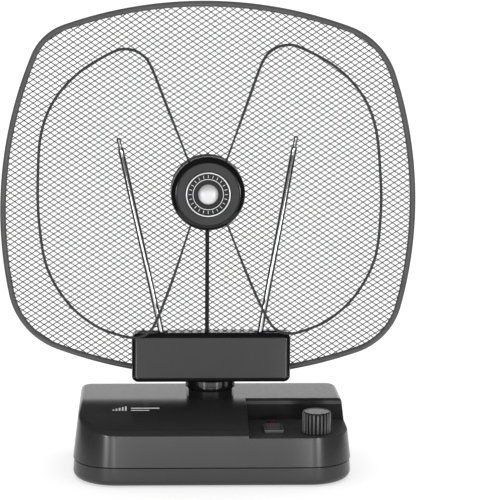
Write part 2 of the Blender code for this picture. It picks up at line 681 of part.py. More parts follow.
def half_outline(inset, upper, lower):
    """Right half of the rim's outline, from the middle of the top round to the middle of the bottom."""
    top, side, bottom = RIM_TOP, RIM_SIDE, RIM_BOTTOM
    ux, uz = fillet_centre(top, side, upper)
    lx, lz = fillet_centre(bottom, side, lower)
    top_end = bearing(ux, uz, *top[:2])
    side_high = bearing(ux, uz, *side[:2])
    side_low = bearing(lx, lz, *side[:2])
    bottom_start = bearing(lx, lz, *bottom[:2])
    arcs = ((top, math.pi / 2, top_end, 7), ((ux, uz, upper), top_end, side_high, 7),
            (side, side_high, side_low, 9), ((lx, lz, lower), side_low, bottom_start, 7),
            (bottom, bottom_start, -math.pi / 2, 7))
    points = []
    for (cx, cz, radius), start, end, steps in arcs:
        for i in range(steps):
            angle = start + (end - start) * i / steps
            points.append((cx + (radius - inset) * math.cos(angle), cz + (radius - inset) * math.sin(angle)))
    return points + [(0.0, bottom[1] - bottom[2] + inset)]


def rolled_outline(inset):
    right = half_outline(inset, *RIM_CORNERS["right"])
    left = half_outline(inset, *RIM_CORNERS["left"])
    flat = right + [(-x, z) for x, z in reversed(left[1:-1])]
    c, s = math.cos(REFLECTOR_ROLL), math.sin(REFLECTOR_ROLL)
    return [(x * c - (z - REFLECTOR_CENTRE_Z) * s, x * s + (z - REFLECTOR_CENTRE_Z) * c + REFLECTOR_CENTRE_Z)
            for x, z in flat]


def reflector_outline(inset):
    """Outline of flat arcs with rounder ones at the corners, rolled about the middle."""
    outer = [x for x, _ in rolled_outline(0.0)]
    shift = REFLECTOR_X - (max(outer) + min(outer)) / 2
    return [(x + shift, MESH_Y, z) for x, z in rolled_outline(inset)]


def reflector(head):
    tube("reflector_rim", reflector_outline(RIM_RADIUS), RIM_RADIUS, MATERIALS["rim"], head, cyclic=True)

    edge = [(x, z) for x, _, z in reflector_outline(2 * RIM_RADIUS + GAP)]
    bm = bmesh.new()
    add_prism(bm, edge, MESH_Y - MESH_THICKNESS / 2, MESH_Y + MESH_THICKNESS / 2, 'Y')
    sheet = solid("reflector_mesh", bm, MATERIALS["rim"], head)

    bm = bmesh.new()
    half_w, half_h = CELL_WIDTH / 2 - STRAND, CELL_HEIGHT / 2 - STRAND * CELL_HEIGHT / CELL_WIDTH
    c, s = math.cos(REFLECTOR_ROLL), math.sin(REFLECTOR_ROLL)
    low, high = MESH_Y - 0.002, MESH_Y + 0.002
    for row in range(-11, 12):
        for column in range(-4, 5):
            x = (column + 0.5 * (row % 2)) * CELL_WIDTH
            z = row * CELL_HEIGHT / 2
            diamond = [(x + half_w, z), (x, z + half_h), (x - half_w, z), (x, z - half_h)]
            turned = [(u * c - v * s, REFLECTOR_CENTRE_Z + u * s + v * c) for u, v in diamond]
            add_prism(bm, turned, low, high, 'Y')
    cells = cutter("mesh_cells_cutter", bm)
    bm = bmesh.new()
    border = [(x, z) for x, _, z in reflector_outline(2 * RIM_RADIUS + BORDER)]
    add_prism(bm, border, low - 0.001, high + 0.001, 'Y')
    boolean(cells, cutter("mesh_window_form", bm), 'INTERSECT')
    bm = bmesh.new()
    add_cylinder(bm, HUB_RADIUS - 0.001, low - 0.002, high + 0.002, (HUB_X, HUB_Z), 'Y', 16)
    clamp_x, clamp_top = BOX_HALF_WIDTH + 0.001, BOX_Z[1] + 0.001
    add_prism(bm, [(-clamp_x, 0.050), (clamp_x, 0.050), (clamp_x, clamp_top), (-clamp_x, clamp_top)],
              low - 0.002, high + 0.002, 'Y')
    boolean(cells, cutter("mesh_clamped_form", bm))
    boolean(sheet, cells)

    bm = bmesh.new()
    for side in (-1, 1):
        add_cylinder(bm, 0.0018, low, high, (side * HEAD_SCREW_X, HEAD_SCREW_Z), 'Y', 12)
    add_cylinder(bm, 0.0018, low, high, (HUB_X, HUB_Z), 'Y', 12)
    boolean(sheet, cutter("mesh_holes_cutter", bm))


# ---------------------------------------------------------------- hub and wire loops

def loop_route(side):
    """Centre line of one wire loop, on the left (-1) or right (1), rolled about the hub."""
    c, s = math.cos(LOOP_ROLL), math.sin(LOOP_ROLL)
    points = []
    for x, z in LOOP_POINTS:
        u, v = side * x, z - HUB_Z
        offset = HUB_X * (1.0 - (1.0 - LOOP_KEEP) * min(1.0, x / LOOP_REACH))
        points.append((offset + u * c - v * s, LOOP_Y, HUB_Z + u * s + v * c))
    return points


def hub(head):
    centre = (HUB_X, 0.0, HUB_Z)
    notch = WIRE_RADIUS + 0.00035
    legs = [(route[a], route[b]) for route in (loop_route(-1), loop_route(1))
            for a, b in ((0, 2), (-1, -3))]

    def notches(name):
        bm = bmesh.new()
        for start, end in legs:
            start, end = Vector(start), Vector(end)
            turn = (end - start).to_track_quat('Z', 'Y').to_matrix()
            rings = []
            for height in (-0.003, 0.030):
                ring = [(notch * math.cos(a), notch * math.sin(a), height)
                        for a in (math.pi * k / 6 for k in range(12))]
                rings.append([start + turn @ Vector(p) for p in ring])
            add_loft(bm, rings)
        return cutter(name, bm)

    bm = bmesh.new()
    add_turned(bm, [(HUB_RADIUS, LOOP_Y + 0.00015), (HUB_RADIUS, 0.0092), (0.0017, 0.0092), (0.0017, 0.0072),
                    (HUB_RADIUS - 0.0020, 0.0072), (HUB_RADIUS - 0.0020, LOOP_Y + 0.00015)],
               centre, 'Y', 32, ring=True)
    body = solid("hub_body", bm, MATERIALS["housing"], head)
    bm = bmesh.new()
    add_cylinder(bm, 0.0017, 0.1624, 0.1744, (HUB_X, ROD_Y), segments=12)
    boolean(body, cutter("hub_feed_cutter", bm))
    boolean(body, notches("hub_body_notches"))

    face = HUB_RADIUS - 0.0040
    bm = bmesh.new()
    add_turned(bm, [(0.0, HUB_FRONT_Y + 0.0018), (0.0156, HUB_FRONT_Y + 0.0018), (0.0156, HUB_FRONT_Y),
                    (face, HUB_FRONT_Y), (face + 0.0022, HUB_FRONT_Y + 0.0009),
                    (HUB_RADIUS, HUB_FRONT_Y + 0.0034), (HUB_RADIUS, LOOP_Y - 0.00015),
                    (HUB_RADIUS - 0.0020, LOOP_Y - 0.00015),
                    (HUB_RADIUS - 0.0020, HUB_FRONT_Y + 0.0038), (0.0044, HUB_FRONT_Y + 0.0038),
                    (0.0044, 0.0069), (0.0015, 0.0069), (0.0015, -0.0060), (0.0, -0.0064)], centre, 'Y', 32)
    cap = solid("hub_cap", bm, MATERIALS["gloss"], head)
    boolean(cap, notches("hub_cap_notches"))

    front = HUB_FRONT_Y
    bm = bmesh.new()
    add_turned(bm, [(0.0, front + 0.0015), (0.0153, front + 0.0015), (0.0153, front - 0.0004),
                    (0.0147, front - 0.0007), (0.0141, front - 0.0004), (0.0137, front + 0.0004),
                    (0.0078, front + 0.0006), (0.0068, front - 0.0002), (0.0050, front - 0.0012),
                    (0.0026, front - 0.0018), (0.0, front - 0.0020)], centre, 'Y', 24)
    solid("hub_inlay", bm, MATERIALS["inlay"], head)

    behind = MESH_Y + MESH_THICKNESS / 2 + GAP
    bm = bmesh.new()
    add_turned(bm, [(0.0017, behind), (0.0200, behind), (0.0200, behind + 0.0010), (0.0185, behind + 0.0016),
                    (0.0017, behind + 0.0016)], centre, 'Y', 24, ring=True)
    solid("hub_washer", bm, MATERIALS["steel"], head)
    screw("hub_screw", 0.0032, 0.0022, 0.0011, 0.0160, (HUB_X, behind + 0.0016 + GAP, HUB_Z),
          (math.radians(90), 0.0, 0.0), head)

    for side, name in ((-1, "left"), (1, "right")):
        tube("wire_loop_" + name, catmull_rom(loop_route(side), 3), WIRE_RADIUS, MATERIALS["wire"], head)
    tube("feed_tube", [(HUB_X, ROD_Y, 0.0904), (HUB_X, ROD_Y, 0.1724)], 0.0014, MATERIALS["wire"], head)


# ---------------------------------------------------------------- telescopic rods

def rod(side, head):
    sign = -1 if side == "left" else 1
    pivot = (sign * ROD_PIVOT_X, ROD_Y, ROD_PIVOT_Z)

    bracket_x = (pivot[0] - 0.0035, pivot[0] + 0.0035)
    profile = [(-0.0013, 0.0794), (0.0063, 0.0794), (0.0063, 0.0804), (0.0053, 0.0804), (0.0053, 0.0919),
               (0.0043, 0.0919), (0.0043, 0.0804), (-0.0003, 0.0804), (-0.0003, 0.0919), (-0.0013, 0.0919)]
    bm = bmesh.new()
    add_prism(bm, profile, *bracket_x, 'X')
    bracket = solid("rod_bracket_" + side, bm, MATERIALS["brass"], head)
    bm = bmesh.new()
    add_cylinder(bm, 0.0015, -0.0030, 0.0070, (pivot[0], pivot[2]), 'Y', 16)
    boolean(bracket, cutter("bracket_hole_cutter_" + side, bm))
    bm = bmesh.new()
    add_turned(bm, [(0.0, -0.0024), (0.0022, -0.0024), (0.0022, -0.0016), (0.0012, -0.0016), (0.0012, 0.0060),
                    (0.0, 0.0060)], (pivot[0], 0.0, pivot[2]), 'Y', 14)
    solid("rod_pin_" + side, bm, MATERIALS["steel"], head)

    axis = empty(side + "_rod_axis", pivot, ROD_TILT[side], head)

    def local(name, bm, mat, smooth=35):
        obj = solid(name, bm, mat, smooth=smooth)
        obj.parent = axis
        return obj

    bm = bmesh.new()
    add_cylinder(bm, 0.0036, -0.0018, 0.0018, (0.0, 0.0), 'Y', 20)
    knuckle = local("rod_knuckle_" + side, bm, MATERIALS["chrome"])
    bm = bmesh.new()
    add_cylinder(bm, 0.0017, 0.0010, TUBE_BOTTOMS[0] - GAP, segments=14)
    neck = cutter("knuckle_neck_form_" + side, bm)
    neck.parent = axis
    boolean(knuckle, neck, 'UNION')
    bm = bmesh.new()
    add_cylinder(bm, 0.0015, -0.0050, 0.0050, (0.0, 0.0), 'Y', 16)
    bore = cutter("knuckle_bore_cutter_" + side, bm)
    bore.parent = axis
    boolean(knuckle, bore)

    for number, ((outer, inner), bottom) in enumerate(zip(TUBE_RADII, TUBE_BOTTOMS), 1):
        bm = bmesh.new()
        if inner > 0:
            lip = TUBE_TOP - 0.0008
            add_turned(bm, [(inner, bottom), (outer, bottom), (outer, lip), (outer - 0.00015, TUBE_TOP),
                            (inner, TUBE_TOP)], segments=16, ring=True)
            local("rod_tube_%d_%s" % (number, side), bm, MATERIALS["chrome"])
        else:
            add_turned(bm, [(outer, bottom), (outer, TUBE_TOP + 0.0030)], segments=12)
            local("rod_core_" + side, bm, MATERIALS["chrome"])

    low = TUBE_TOP + GAP
    bm = bmesh.new()
    add_turned(bm, [(0.0011, low), (0.0016, low), (0.0016, TIP_TOP - 0.0012), (0.0012, TIP_TOP - 0.0004),
                    (0.0005, TIP_TOP), (0.0, TIP_TOP), (0.0, TUBE_TOP + 0.0035), (0.0011, TUBE_TOP + 0.0035)],
               segments=14, ring=True)
    local("rod_tip_" + side, bm, MATERIALS["chrome"])


clear_scene()
MATERIALS = {
    "guide": material("guide", (1.0, 0.0, 0.0), 1.0),
    "housing": material("housing_plastic", (0.035, 0.035, 0.037), 0.38),
    "gloss": material("gloss_black_plastic", (0.012, 0.012, 0.013), 0.12),
    "knob": material("knob_plastic", (0.060, 0.060, 0.062), 0.45),
    "socket": material("socket_plastic", (0.020, 0.020, 0.022), 0.50),
    "rubber": material("rubber", (0.025, 0.025, 0.025), 0.80),
    "steel": material("steel", (0.55, 0.55, 0.56), 0.35, 1.0),
    "brass": material("brass", (0.65, 0.48, 0.22), 0.35, 1.0),
    "chrome": material("chrome", (0.80, 0.80, 0.82), 0.10, 1.0),
    "rim": material("rim_paint", (0.075, 0.075, 0.078), 0.55),
    "wire": material("wire_paint", (0.030, 0.030, 0.032), 0.45),
    "inlay": material("inlay_metal", (0.45, 0.45, 0.47), 0.25, 0.8),
    "board": material("circuit_board", (0.05, 0.16, 0.07), 0.45),
    "led": material("led_red", (0.55, 0.01, 0.02), 0.15),
}
base_lower_shell()
base_upper_shell()
base_fittings()
electronics()
gain_control()
power_switch()
HEAD = empty("head_axis", (0.0, NECK_Y, 0.0))
swivel(HEAD)
head_box(HEAD)
reflector(HEAD)
hub(HEAD)
for rod_side in ("left", "right"):
    rod(rod_side, HEAD)
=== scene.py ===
"""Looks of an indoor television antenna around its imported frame. Metres, +Z up, front towards -Y."""
from math import asin, atan2, cos, hypot, pi, radians, sin, sqrt

import bmesh
import bpy
from mathutils import Matrix, Vector


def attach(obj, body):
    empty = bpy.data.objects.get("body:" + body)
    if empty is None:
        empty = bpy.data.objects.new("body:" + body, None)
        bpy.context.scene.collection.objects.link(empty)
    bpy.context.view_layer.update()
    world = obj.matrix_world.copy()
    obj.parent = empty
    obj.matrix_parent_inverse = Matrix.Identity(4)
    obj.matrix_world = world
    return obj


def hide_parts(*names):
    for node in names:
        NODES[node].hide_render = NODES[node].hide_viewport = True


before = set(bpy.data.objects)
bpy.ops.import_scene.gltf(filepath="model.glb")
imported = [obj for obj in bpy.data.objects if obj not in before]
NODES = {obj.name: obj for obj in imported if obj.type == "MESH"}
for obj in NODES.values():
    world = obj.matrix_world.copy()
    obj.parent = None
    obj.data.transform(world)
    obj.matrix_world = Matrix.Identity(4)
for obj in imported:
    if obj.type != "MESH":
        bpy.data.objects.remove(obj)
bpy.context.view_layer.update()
GAP = 0.0003
SIDES = {-1: "left", 1: "right"}
CUT, ADD = 'DIFFERENCE', 'UNION'

# Camera
CAMERA_AT = (-0.0460, -1.2000, 0.3531)
CAMERA_PITCH = radians(9.43)       # down
CAMERA_YAW = radians(0.76)         # to the right
CAMERA_SHIFT = 0.1458                   # the object stands left of the view's middle
CAMERA_LENS = 127.62

# Base
BASE_HALF_WIDTH = 0.0952
BASE_HALF_DEPTH = 0.051
BASE_FRONT_CORNER = 0.030
BASE_BACK_CORNER = 0.012
BASE_DRAFT = 0.12
BASE_WALL = 0.0023
SEAM_Z = 0.0136
ROOF_Z = 0.0489
SLOPE_START_Y = 0.002
SLOPE_RADIUS = 0.1145
ROOF_EDGE = 0.0028
FLOOR_Z = 0.0006
FOOT_CENTRE = (0.0780, 0.0350)
FOOT_RADIUS = 0.0055
BOSS_CENTRE = (0.0810, 0.0180)
SCREW_HEAD_RADIUS = 0.0027
SCREW_SHANK_RADIUS = 0.0012
SCREW_HEAD_HOLE = 0.0031
SCREW_HOLE = 0.0016
BASE_SCREW_SEAT_Z = 0.0099
ROOF_CUT_Z = (0.0429, 0.0565)           # heights of the tools that cut through the roof,
PANEL_CUT_Z = (0.0294, 0.0354)          # the recess's floor
BACK_CUT_Y = (0.0420, 0.0540)           # and the back wall
RECESS_LEFT = 0.0240
RECESS_Z = 0.0337
RECESS_BACK_FOOT_Y = -0.0005
RECESS_BAND_Z = (0.0447, 0.0471)
RECESS_BACK_LEAN = 0.04
KNOB_AT = (0.0706, -0.0335)
KNOB_RADIUS = 0.0097
KNOB_Z = (0.0342, 0.0484)
KNOB_RIBS = 22
KNOB_HOLE_RADIUS = 0.0050
POINTER_TURN = radians(35)
SWITCH_AT = (0.0417, -0.0283)
ROCKER_PIVOT_Z = 0.0329
LED_AT = (0.0410, -0.0112)
LED_HOLE_RADIUS = 0.0028
DC_INLET_X = 0.0620
DC_HOLE_RADIUS = 0.0052
COAX_OUTLET_X = 0.0360
COAX_HOLE_RADIUS = 0.0063
SOCKET_Z = 0.0264

CORNERS = {"back_left": (-1, 1), "front_left": (-1, -1), "front_right": (1, -1), "back_right": (1, 1)}

# Neck and head box
NECK_Y = 0.0140
NECK_RADIUS = 0.0174
STEM_RADIUS = 0.0098
LEAD_BORE = 0.0040
TURRET_RADIUS = 0.0169
TURRET_TOP_Z = 0.0545
BOX_HALF_WIDTH = 0.0549
BOX_Z = (0.0613, 0.0960)
BOX_CORNER = 0.0045
BOX_FRONT_Y = -0.0050
BOX_EDGE = 0.0036
BOX_WALL = 0.0020
REAR_HALF_WIDTH = 0.0470
REAR_TOP_Z = 0.0874
REAR_BACK_Y = 0.0310
HEAD_SCREW = (0.0400, 0.0784)
HEAD_SCREW_SEAT_Y = 0.0260
ROD_SLOT_X = (0.0299, 0.0503)
ROD_SLOT_HALF_DEPTH = 0.0026
FEED_HOLE_RADIUS = 0.0017

# Reflector
MESH_Y = 0.0100
RIM_RADIUS = 0.0020
REFLECTOR_X = -0.0021
REFLECTOR_CENTRE_Z = 0.1924
REFLECTOR_ROLL = radians(-1.16)
RIM_TOP = (0.0, 0.0313, 0.2917)
RIM_SIDE = (-0.1392, 0.1784, 0.2824)
RIM_BOTTOM = (0.0, 0.3717, 0.3092)
RIM_CORNERS = {"left": (0.0372, 0.0524), "right": (0.0524, 0.0464)}
CELL_WIDTH = 0.0060
CELL_HEIGHT = 0.0040
STRAND_HALF_WIDTH = 0.00031
STRAND_HALF_DEPTH = 0.00026
MESH_ROWS = 67                          # on each side of the middle
MESH_COLUMNS = 50
PARALLEL = 1e-15
NO_LENGTH = 1e-6

# Hub and wire loops
HUB = Vector((-0.0028, 0.0, 0.1939))
HUB_RADIUS = 0.0252
HUB_FRONT_Y = -0.0140
HUB_WALL = 0.0020
LOOP_Y = -0.0065
WIRE_RADIUS = 0.00080
SLEEVE_START = 0.042                    # distance from the hub's middle
SLEEVE_TAPER = 0.020
LOOP_ROLL = radians(1.4)
LOOP_REACH = 0.050
LOOP_KEEP = 0.60
LOOP_POINTS = (
    (0.0069, 0.2004), (0.0132, 0.2169), (0.0270, 0.2537), (0.0371, 0.2804), (0.0436, 0.2890),
    (0.0530, 0.2926), (0.0640, 0.2904), (0.0870, 0.2769), (0.1040, 0.2584), (0.1130, 0.2364),
    (0.1161, 0.2074), (0.1164, 0.1774), (0.1120, 0.1454), (0.0985, 0.1204), (0.0810, 0.1046),
    (0.0650, 0.0974), (0.0530, 0.0950), (0.0435, 0.0986), (0.0370, 0.1086), (0.0262, 0.1342),
    (0.0131, 0.1704), (0.0069, 0.1874))

# Rods
ROD_Y = 0.0020
ROD_PIVOT_X = 0.0326
ROD_PIVOT_Z = 0.0874
ROD_TILT = {"left": radians(-12.2), "right": radians(9.8)}
TUBE_RADII = ((0.00210, 0.00182), (0.00165, 0.00140), (0.00122, 0.00098))
TUBE_BOTTOMS = (0.0083, 0.0140, 0.0170)
CORE = (0.00082, 0.0200)                # radius and lower end
TUBE_TOP = 0.1392
TIP_TOP = 0.1468


# ---- materials

def fill(tree, made, values):
    """Sets a node's sockets, by name or number, and its properties. Another node's socket is linked."""
    for key, value in values.items():
        if isinstance(key, str) and key not in made.inputs:
            setattr(made, key, value)
        elif isinstance(value, bpy.types.NodeSocket):
            tree.links.new(value, made.inputs[key])
        else:
            made.inputs[key].default_value = value


def node(tree, kind, sockets=None, **values):
    made = tree.nodes.new("ShaderNode" + kind)
    fill(tree, made, {**values, **(sockets or {})})
    return made


def noise(tree, coordinates, scale, detail=3.0, stretch=None):
    """Noise value over the object's own coordinates, stretched along an axis for drawn metal."""
    if stretch is not None:
        coordinates = node(tree, "Mapping", Vector=coordinates, Scale=stretch).outputs["Vector"]
    return node(tree, "TexNoise", Vector=coordinates, Scale=scale, Detail=detail).outputs["Fac"]


def spread(tree, value, low, high, start=0.3, end=0.7):
    """Maps start..end of a value to low..high."""
    limits = {"Value": value, "From Min": start, "From Max": end, "To Min": low, "To Max": high}
    return node(tree, "MapRange", limits).outputs["Result"]


def finish_of(colour, roughness, metallic=0.0, tone=0.12, patch=45.0, rough_spread=0.05,
              grain=2600.0, depth=0.00002, strength=0.25, coat=0.0, stretch=None, edge=0.0, specular=0.5):
    """Material with slow changes of tone, finer changes of roughness, and a moulded or drawn grain."""
    mat = bpy.data.materials.new("finish")
    mat.use_nodes = True
    tree = mat.node_tree
    where = node(tree, "TexCoord").outputs["Object"]

    ramp = node(tree, "ValToRGB", Fac=noise(tree, where, patch, 5.0, stretch))
    for element, position, share in zip(ramp.color_ramp.elements, (0.30, 0.70), (1.0 - tone, 1.0 + tone)):
        element.position = position
        element.color = (*[c * share for c in colour], 1.0)
    tint = ramp.outputs["Color"]
    if edge > 0.0:
        tint = worn_edges(tree, tint, colour, edge)
    rough = spread(tree, noise(tree, where, patch * 9.0, 4.0, stretch),
                   roughness - rough_spread, roughness + rough_spread)
    grains = noise(tree, where, grain, 2.0, stretch)
    bump = node(tree, "Bump", Strength=strength, Distance=depth, Height=grains)
    fill(tree, tree.nodes["Principled BSDF"], {
        "Metallic": metallic, "Specular IOR Level": specular, "Coat Weight": coat, "Coat Roughness": 0.08,
        "Base Color": tint, "Roughness": rough, "Normal": bump.outputs["Normal"]})
    return mat


def worn_edges(tree, tint, colour, amount):
    """Lighter, handled look along edges, where the rounded normal leaves the real one."""
    reach, gain, lift = 0.0007, 2.4, 0.02
    rounded = node(tree, "Bevel", samples=4, Radius=reach).outputs["Normal"]
    plain = node(tree, "NewGeometry").outputs["Normal"]
    dot = node(tree, "VectorMath", {0: rounded, 1: plain}, operation='DOT_PRODUCT')
    share = spread(tree, dot.outputs["Value"], amount, 0.0, 0.80, 0.99)
    worn = (*[min(1.0, c * gain + lift) for c in colour], 1.0)
    return node(tree, "Mix", {"Factor": share, 6: tint, 7: worn}, data_type='RGBA').outputs[2]


def spun(colour, roughness, metallic, lines=2200.0, strength=0.5, specular=0.5):
    """Metal turned about the hub's axis: fine rings, each with its own sheen."""
    mat = finish_of(colour, roughness, metallic, tone=0.10, patch=60.0, specular=specular)
    tree = mat.node_tree
    where = node(tree, "TexCoord").outputs["Object"]
    shifted = node(tree, "VectorMath", {0: where, 1: (HUB.x, 0.0, HUB.z)}, operation='SUBTRACT')
    flat = node(tree, "VectorMath", {0: shifted.outputs["Vector"], 1: (1.0, 0.0, 1.0)}, operation='MULTIPLY')
    length = node(tree, "VectorMath", {0: flat.outputs["Vector"]}, operation='LENGTH').outputs["Value"]
    rings = node(tree, "TexNoise", noise_dimensions='1D', W=length, Scale=lines, Detail=3.0).outputs["Fac"]
    bump = node(tree, "Bump", Strength=strength, Distance=0.00004, Height=rings)
    fill(tree, tree.nodes["Principled BSDF"], {
        "Normal": bump.outputs["Normal"],
        "Roughness": spread(tree, rings, roughness - 0.08, roughness + 0.12)})
    return mat


MATS = {
    "housing": finish_of((0.018, 0.018, 0.0185), 0.25, tone=0.06, rough_spread=0.02, grain=1500.0,
                         strength=0.015, edge=0.12),
    "gloss": finish_of((0.006, 0.006, 0.0065), 0.14, tone=0.15, rough_spread=0.02, depth=0.00001,
                       strength=0.08, coat=0.6),
    # Painted shade: a darker, duller copy of the housing for the recess's walls, the knob's grooves and the
    # head box's underside.
    "recess": finish_of((0.008, 0.008, 0.0085), 0.35, tone=0.12, specular=0.12),
    # Painted light: a lighter copy of the housing for the recess's floor.
    "sill_painted_light": finish_of((0.042, 0.042, 0.043), 0.50, tone=0.10, specular=0.30),
    "ring": finish_of((0.006, 0.006, 0.0065), 0.16, tone=0.15, rough_spread=0.03, specular=0.28),
    "drum": finish_of((0.016, 0.016, 0.0165), 0.60, tone=0.12, specular=0.10),
    "knob": finish_of((0.056, 0.056, 0.057), 0.30, tone=0.10, grain=3200.0, edge=0.4),
    "socket": finish_of((0.012, 0.012, 0.013), 0.42, tone=0.15),
    "rubber": finish_of((0.016, 0.016, 0.016), 0.80, tone=0.20, strength=0.5),
    "steel": finish_of((0.52, 0.53, 0.55), 0.32, 1.0, patch=400.0, rough_spread=0.10),
    "brass": finish_of((0.60, 0.44, 0.20), 0.34, 1.0, patch=300.0, rough_spread=0.08),
    "chrome": finish_of((0.50, 0.50, 0.51), 0.15, 1.0, tone=0.05, patch=120.0, rough_spread=0.04,
                        depth=0.00001, strength=0.10, stretch=(8.0, 8.0, 0.4)),
    "rim": finish_of((0.068, 0.068, 0.069), 0.50, tone=0.12, patch=90.0, grain=1500.0,
                     depth=0.00005, strength=0.40),
    "mesh": finish_of((0.022, 0.022, 0.023), 0.45, tone=0.20, patch=60.0, specular=0.35),
    "wire": finish_of((0.030, 0.030, 0.031), 0.40, tone=0.18, patch=90.0, grain=1900.0, specular=0.30),
    "board": finish_of((0.035, 0.13, 0.055), 0.42, tone=0.25, patch=500.0),
    "led": finish_of((0.07, 0.002, 0.004), 0.16, tone=0.10, coat=0.6),
    "print": finish_of((0.60, 0.60, 0.60), 0.50, tone=0.05),
    "face": spun((0.034, 0.034, 0.035), 0.36, 0.4, strength=0.35, specular=0.35),
    "bright": spun((0.66, 0.66, 0.67), 0.42, 0.5, lines=3000.0),
    "dark": spun((0.008, 0.008, 0.009), 0.30, 0.0, lines=1500.0, specular=0.25),
}
for finish, material in MATS.items():
    material.name = finish


# ---- modelling helpers

def as_mesh(name, bm):
    mesh = bpy.data.meshes.new(name)
    bm.to_mesh(mesh)
    bm.free()
    return mesh


def as_object(name, data):
    obj = bpy.data.objects.new(name, data)
    bpy.context.scene.collection.objects.link(obj)
    return obj


def piece(name, bm, mats, body, replaced=(), angle=35, bevel=0.0, segments=2, tools=(),
          flat_faces=False):
    """Object from a bmesh, with its materials, its body and the CAD nodes that it stands for.
    The materials are added in the given order. Edges sharper than the angle, in degrees, are bevelled."""
    keys = [mats] if isinstance(mats, str) else list(mats)
    bmesh.ops.recalc_face_normals(bm, faces=bm.faces)
    obj = as_object(name, as_mesh(name, bm))
    for key in keys:
        obj.data.materials.append(MATS[key])
    if tools:
        obj = carved(obj, tools)
    obj.data.shade_smooth()
    if bevel > 0.0:
        mod = obj.modifiers.new("bevel", 'BEVEL')
        mod.width = bevel
        mod.segments = segments
        mod.limit_method = 'ANGLE'
        mod.angle_limit = radians(angle)
        apply_modifiers(obj)
    obj.data.set_sharp_from_angle(angle=radians(angle))
    if flat_faces:
        obj.modifiers.new("weighted", 'WEIGHTED_NORMAL').keep_sharp = True
        apply_modifiers(obj)
    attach(obj, body)
    if replaced:
        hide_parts(*replaced)
    return obj


def apply_modifiers(obj):
    """Puts the result of the object's modifiers in its mesh."""
    depsgraph = bpy.context.evaluated_depsgraph_get()
    mesh = bpy.data.meshes.new_from_object(obj.evaluated_get(depsgraph))
    mesh.name = obj.data.name + "_applied"
    obj.modifiers.clear()
    obj.data = mesh


def carved(obj, tools):
    """Applies booleans in order. Each tool is (operation, bmesh)."""
    helpers = []
    for operation, bm in tools:
        bmesh.ops.recalc_face_normals(bm, faces=bm.faces)
        helper = as_object("tool", as_mesh("tool", bm))
        helpers.append(helper)
        mod = obj.modifiers.new("carve", 'BOOLEAN')
        mod.operation = operation
        mod.object = helper
        mod.solver = 'EXACT'
    apply_modifiers(obj)
    for helper in helpers:
        bpy.data.objects.remove(helper)
    return obj


def bridge(bm, rings, closed=False, mat=0):
    """Faces between each ring and the next; a ring may be a single point."""
    pairs = list(zip(rings, rings[1:]))
    if closed:
        pairs.append((rings[-1], rings[0]))
    for low, high in pairs:
        count = max(len(low), len(high))
        for i in range(count):
            j = (i + 1) % count
            corners = [low[i % len(low)], low[j % len(low)], high[j % len(high)], high[i % len(high)]]
            face = list(dict.fromkeys(corners))
            if len(face) > 2:
                bm.faces.new(face).material_index = mat


def skin(bm, rings, closed=False):
    """Bridges the rings and caps the two ends of an open run."""
    bridge(bm, rings, closed)
    if not closed:
        bm.faces.new(rings[0])
        bm.faces.new(rings[-1])


def loft(sections, bm=None):
    """Closed form through sections of equal point counts."""
    bm = bm or bmesh.new()
    skin(bm, [[bm.verts.new(p) for p in section] for section in sections])
    return bm


def prism(outline, low, high, bm=None):
    """Upright prism on an outline in X and Y."""
    return loft([[(u, v, h) for u, v in outline] for h in (low, high)], bm)


def side_prism(outline, left, right):
    """Prism that runs along X on an outline in Y and Z."""
    return loft([[(h, u, v) for u, v in outline] for h in (left, right)])


def turned(profile, matrix, segments=64, ring=False, bm=None, mats=None):
    """Turns (radius, height) points about the matrix's Z axis; a ring joins its last band to its first.
    mats gives each band's material index."""
    bm = bm or bmesh.new()
    rings = []
    for radius, height in profile:
        count = segments if radius > 0 else 1
        rings.append([bm.verts.new(matrix @ Vector((radius * cos(a), radius * sin(a), height)))
                      for a in (2 * pi * i / count for i in range(count))])
    for band, (low, high) in enumerate(zip(rings, rings[1:])):
        bridge(bm, [low, high], mat=mats[band] if mats else 0)
    if ring:
        bridge(bm, [rings[-1], rings[0]])
    else:
        for end in (rings[0], rings[-1]):
            if len(end) > 2:
                bm.faces.new(end)
    return bm


def drill(bm, radius, span, matrix, segments=32):
    """Adds a plain cylinder over a span of heights, for a tool of a boolean."""
    turned([(radius, span[0]), (radius, span[1])], matrix, segments, bm=bm)


def angles(*span):
    """Angles from a range in whole degrees."""
    return [radians(k) for k in range(*span)]


def upright(x, y, z=0.0):
    return Matrix.Translation((x, y, z))


def facing_back(x, z):
    """Frame whose Z axis points along +Y."""
    return Matrix.Translation((x, 0.0, z)) @ Matrix.Rotation(radians(-90), 4, 'X')


def facing_front(x, y, z):
    """Frame whose Z axis points along -Y."""
    return Matrix.Translation((x, y, z)) @ Matrix.Rotation(radians(90), 4, 'X')


def rounded_rectangle(half_width, half_height, radius, segments, centre):
    points = []
    for quarter, (sx, sy) in enumerate(((1, 1), (-1, 1), (-1, -1), (1, -1))):
        for i in range(segments + 1):
            angle = radians(90) * (quarter + i / segments)
            points.append((centre[0] + sx * (half_width - radius) + radius * cos(angle),
                           centre[1] + sy * (half_height - radius) + radius * sin(angle)))
    return points


def catmull_rom(points, steps):
    """Smooth curve through the points, with that many steps from each to the next."""
    pts = [Vector(p) for p in points]
    line = [2 * pts[0] - pts[1]] + pts + [2 * pts[-1] - pts[-2]]
    curve = []
    for a, b, c, d in zip(line, line[1:], line[2:], line[3:]):
        for i in range(steps):
            t = i / steps
            curve.append(0.5 * (2 * b + (c - a) * t + (2 * a - 5 * b + 4 * c - d) * t * t
                                + (3 * b - a - 3 * c + d) * t ** 3))
    curve.append(pts[-1])
    return curve


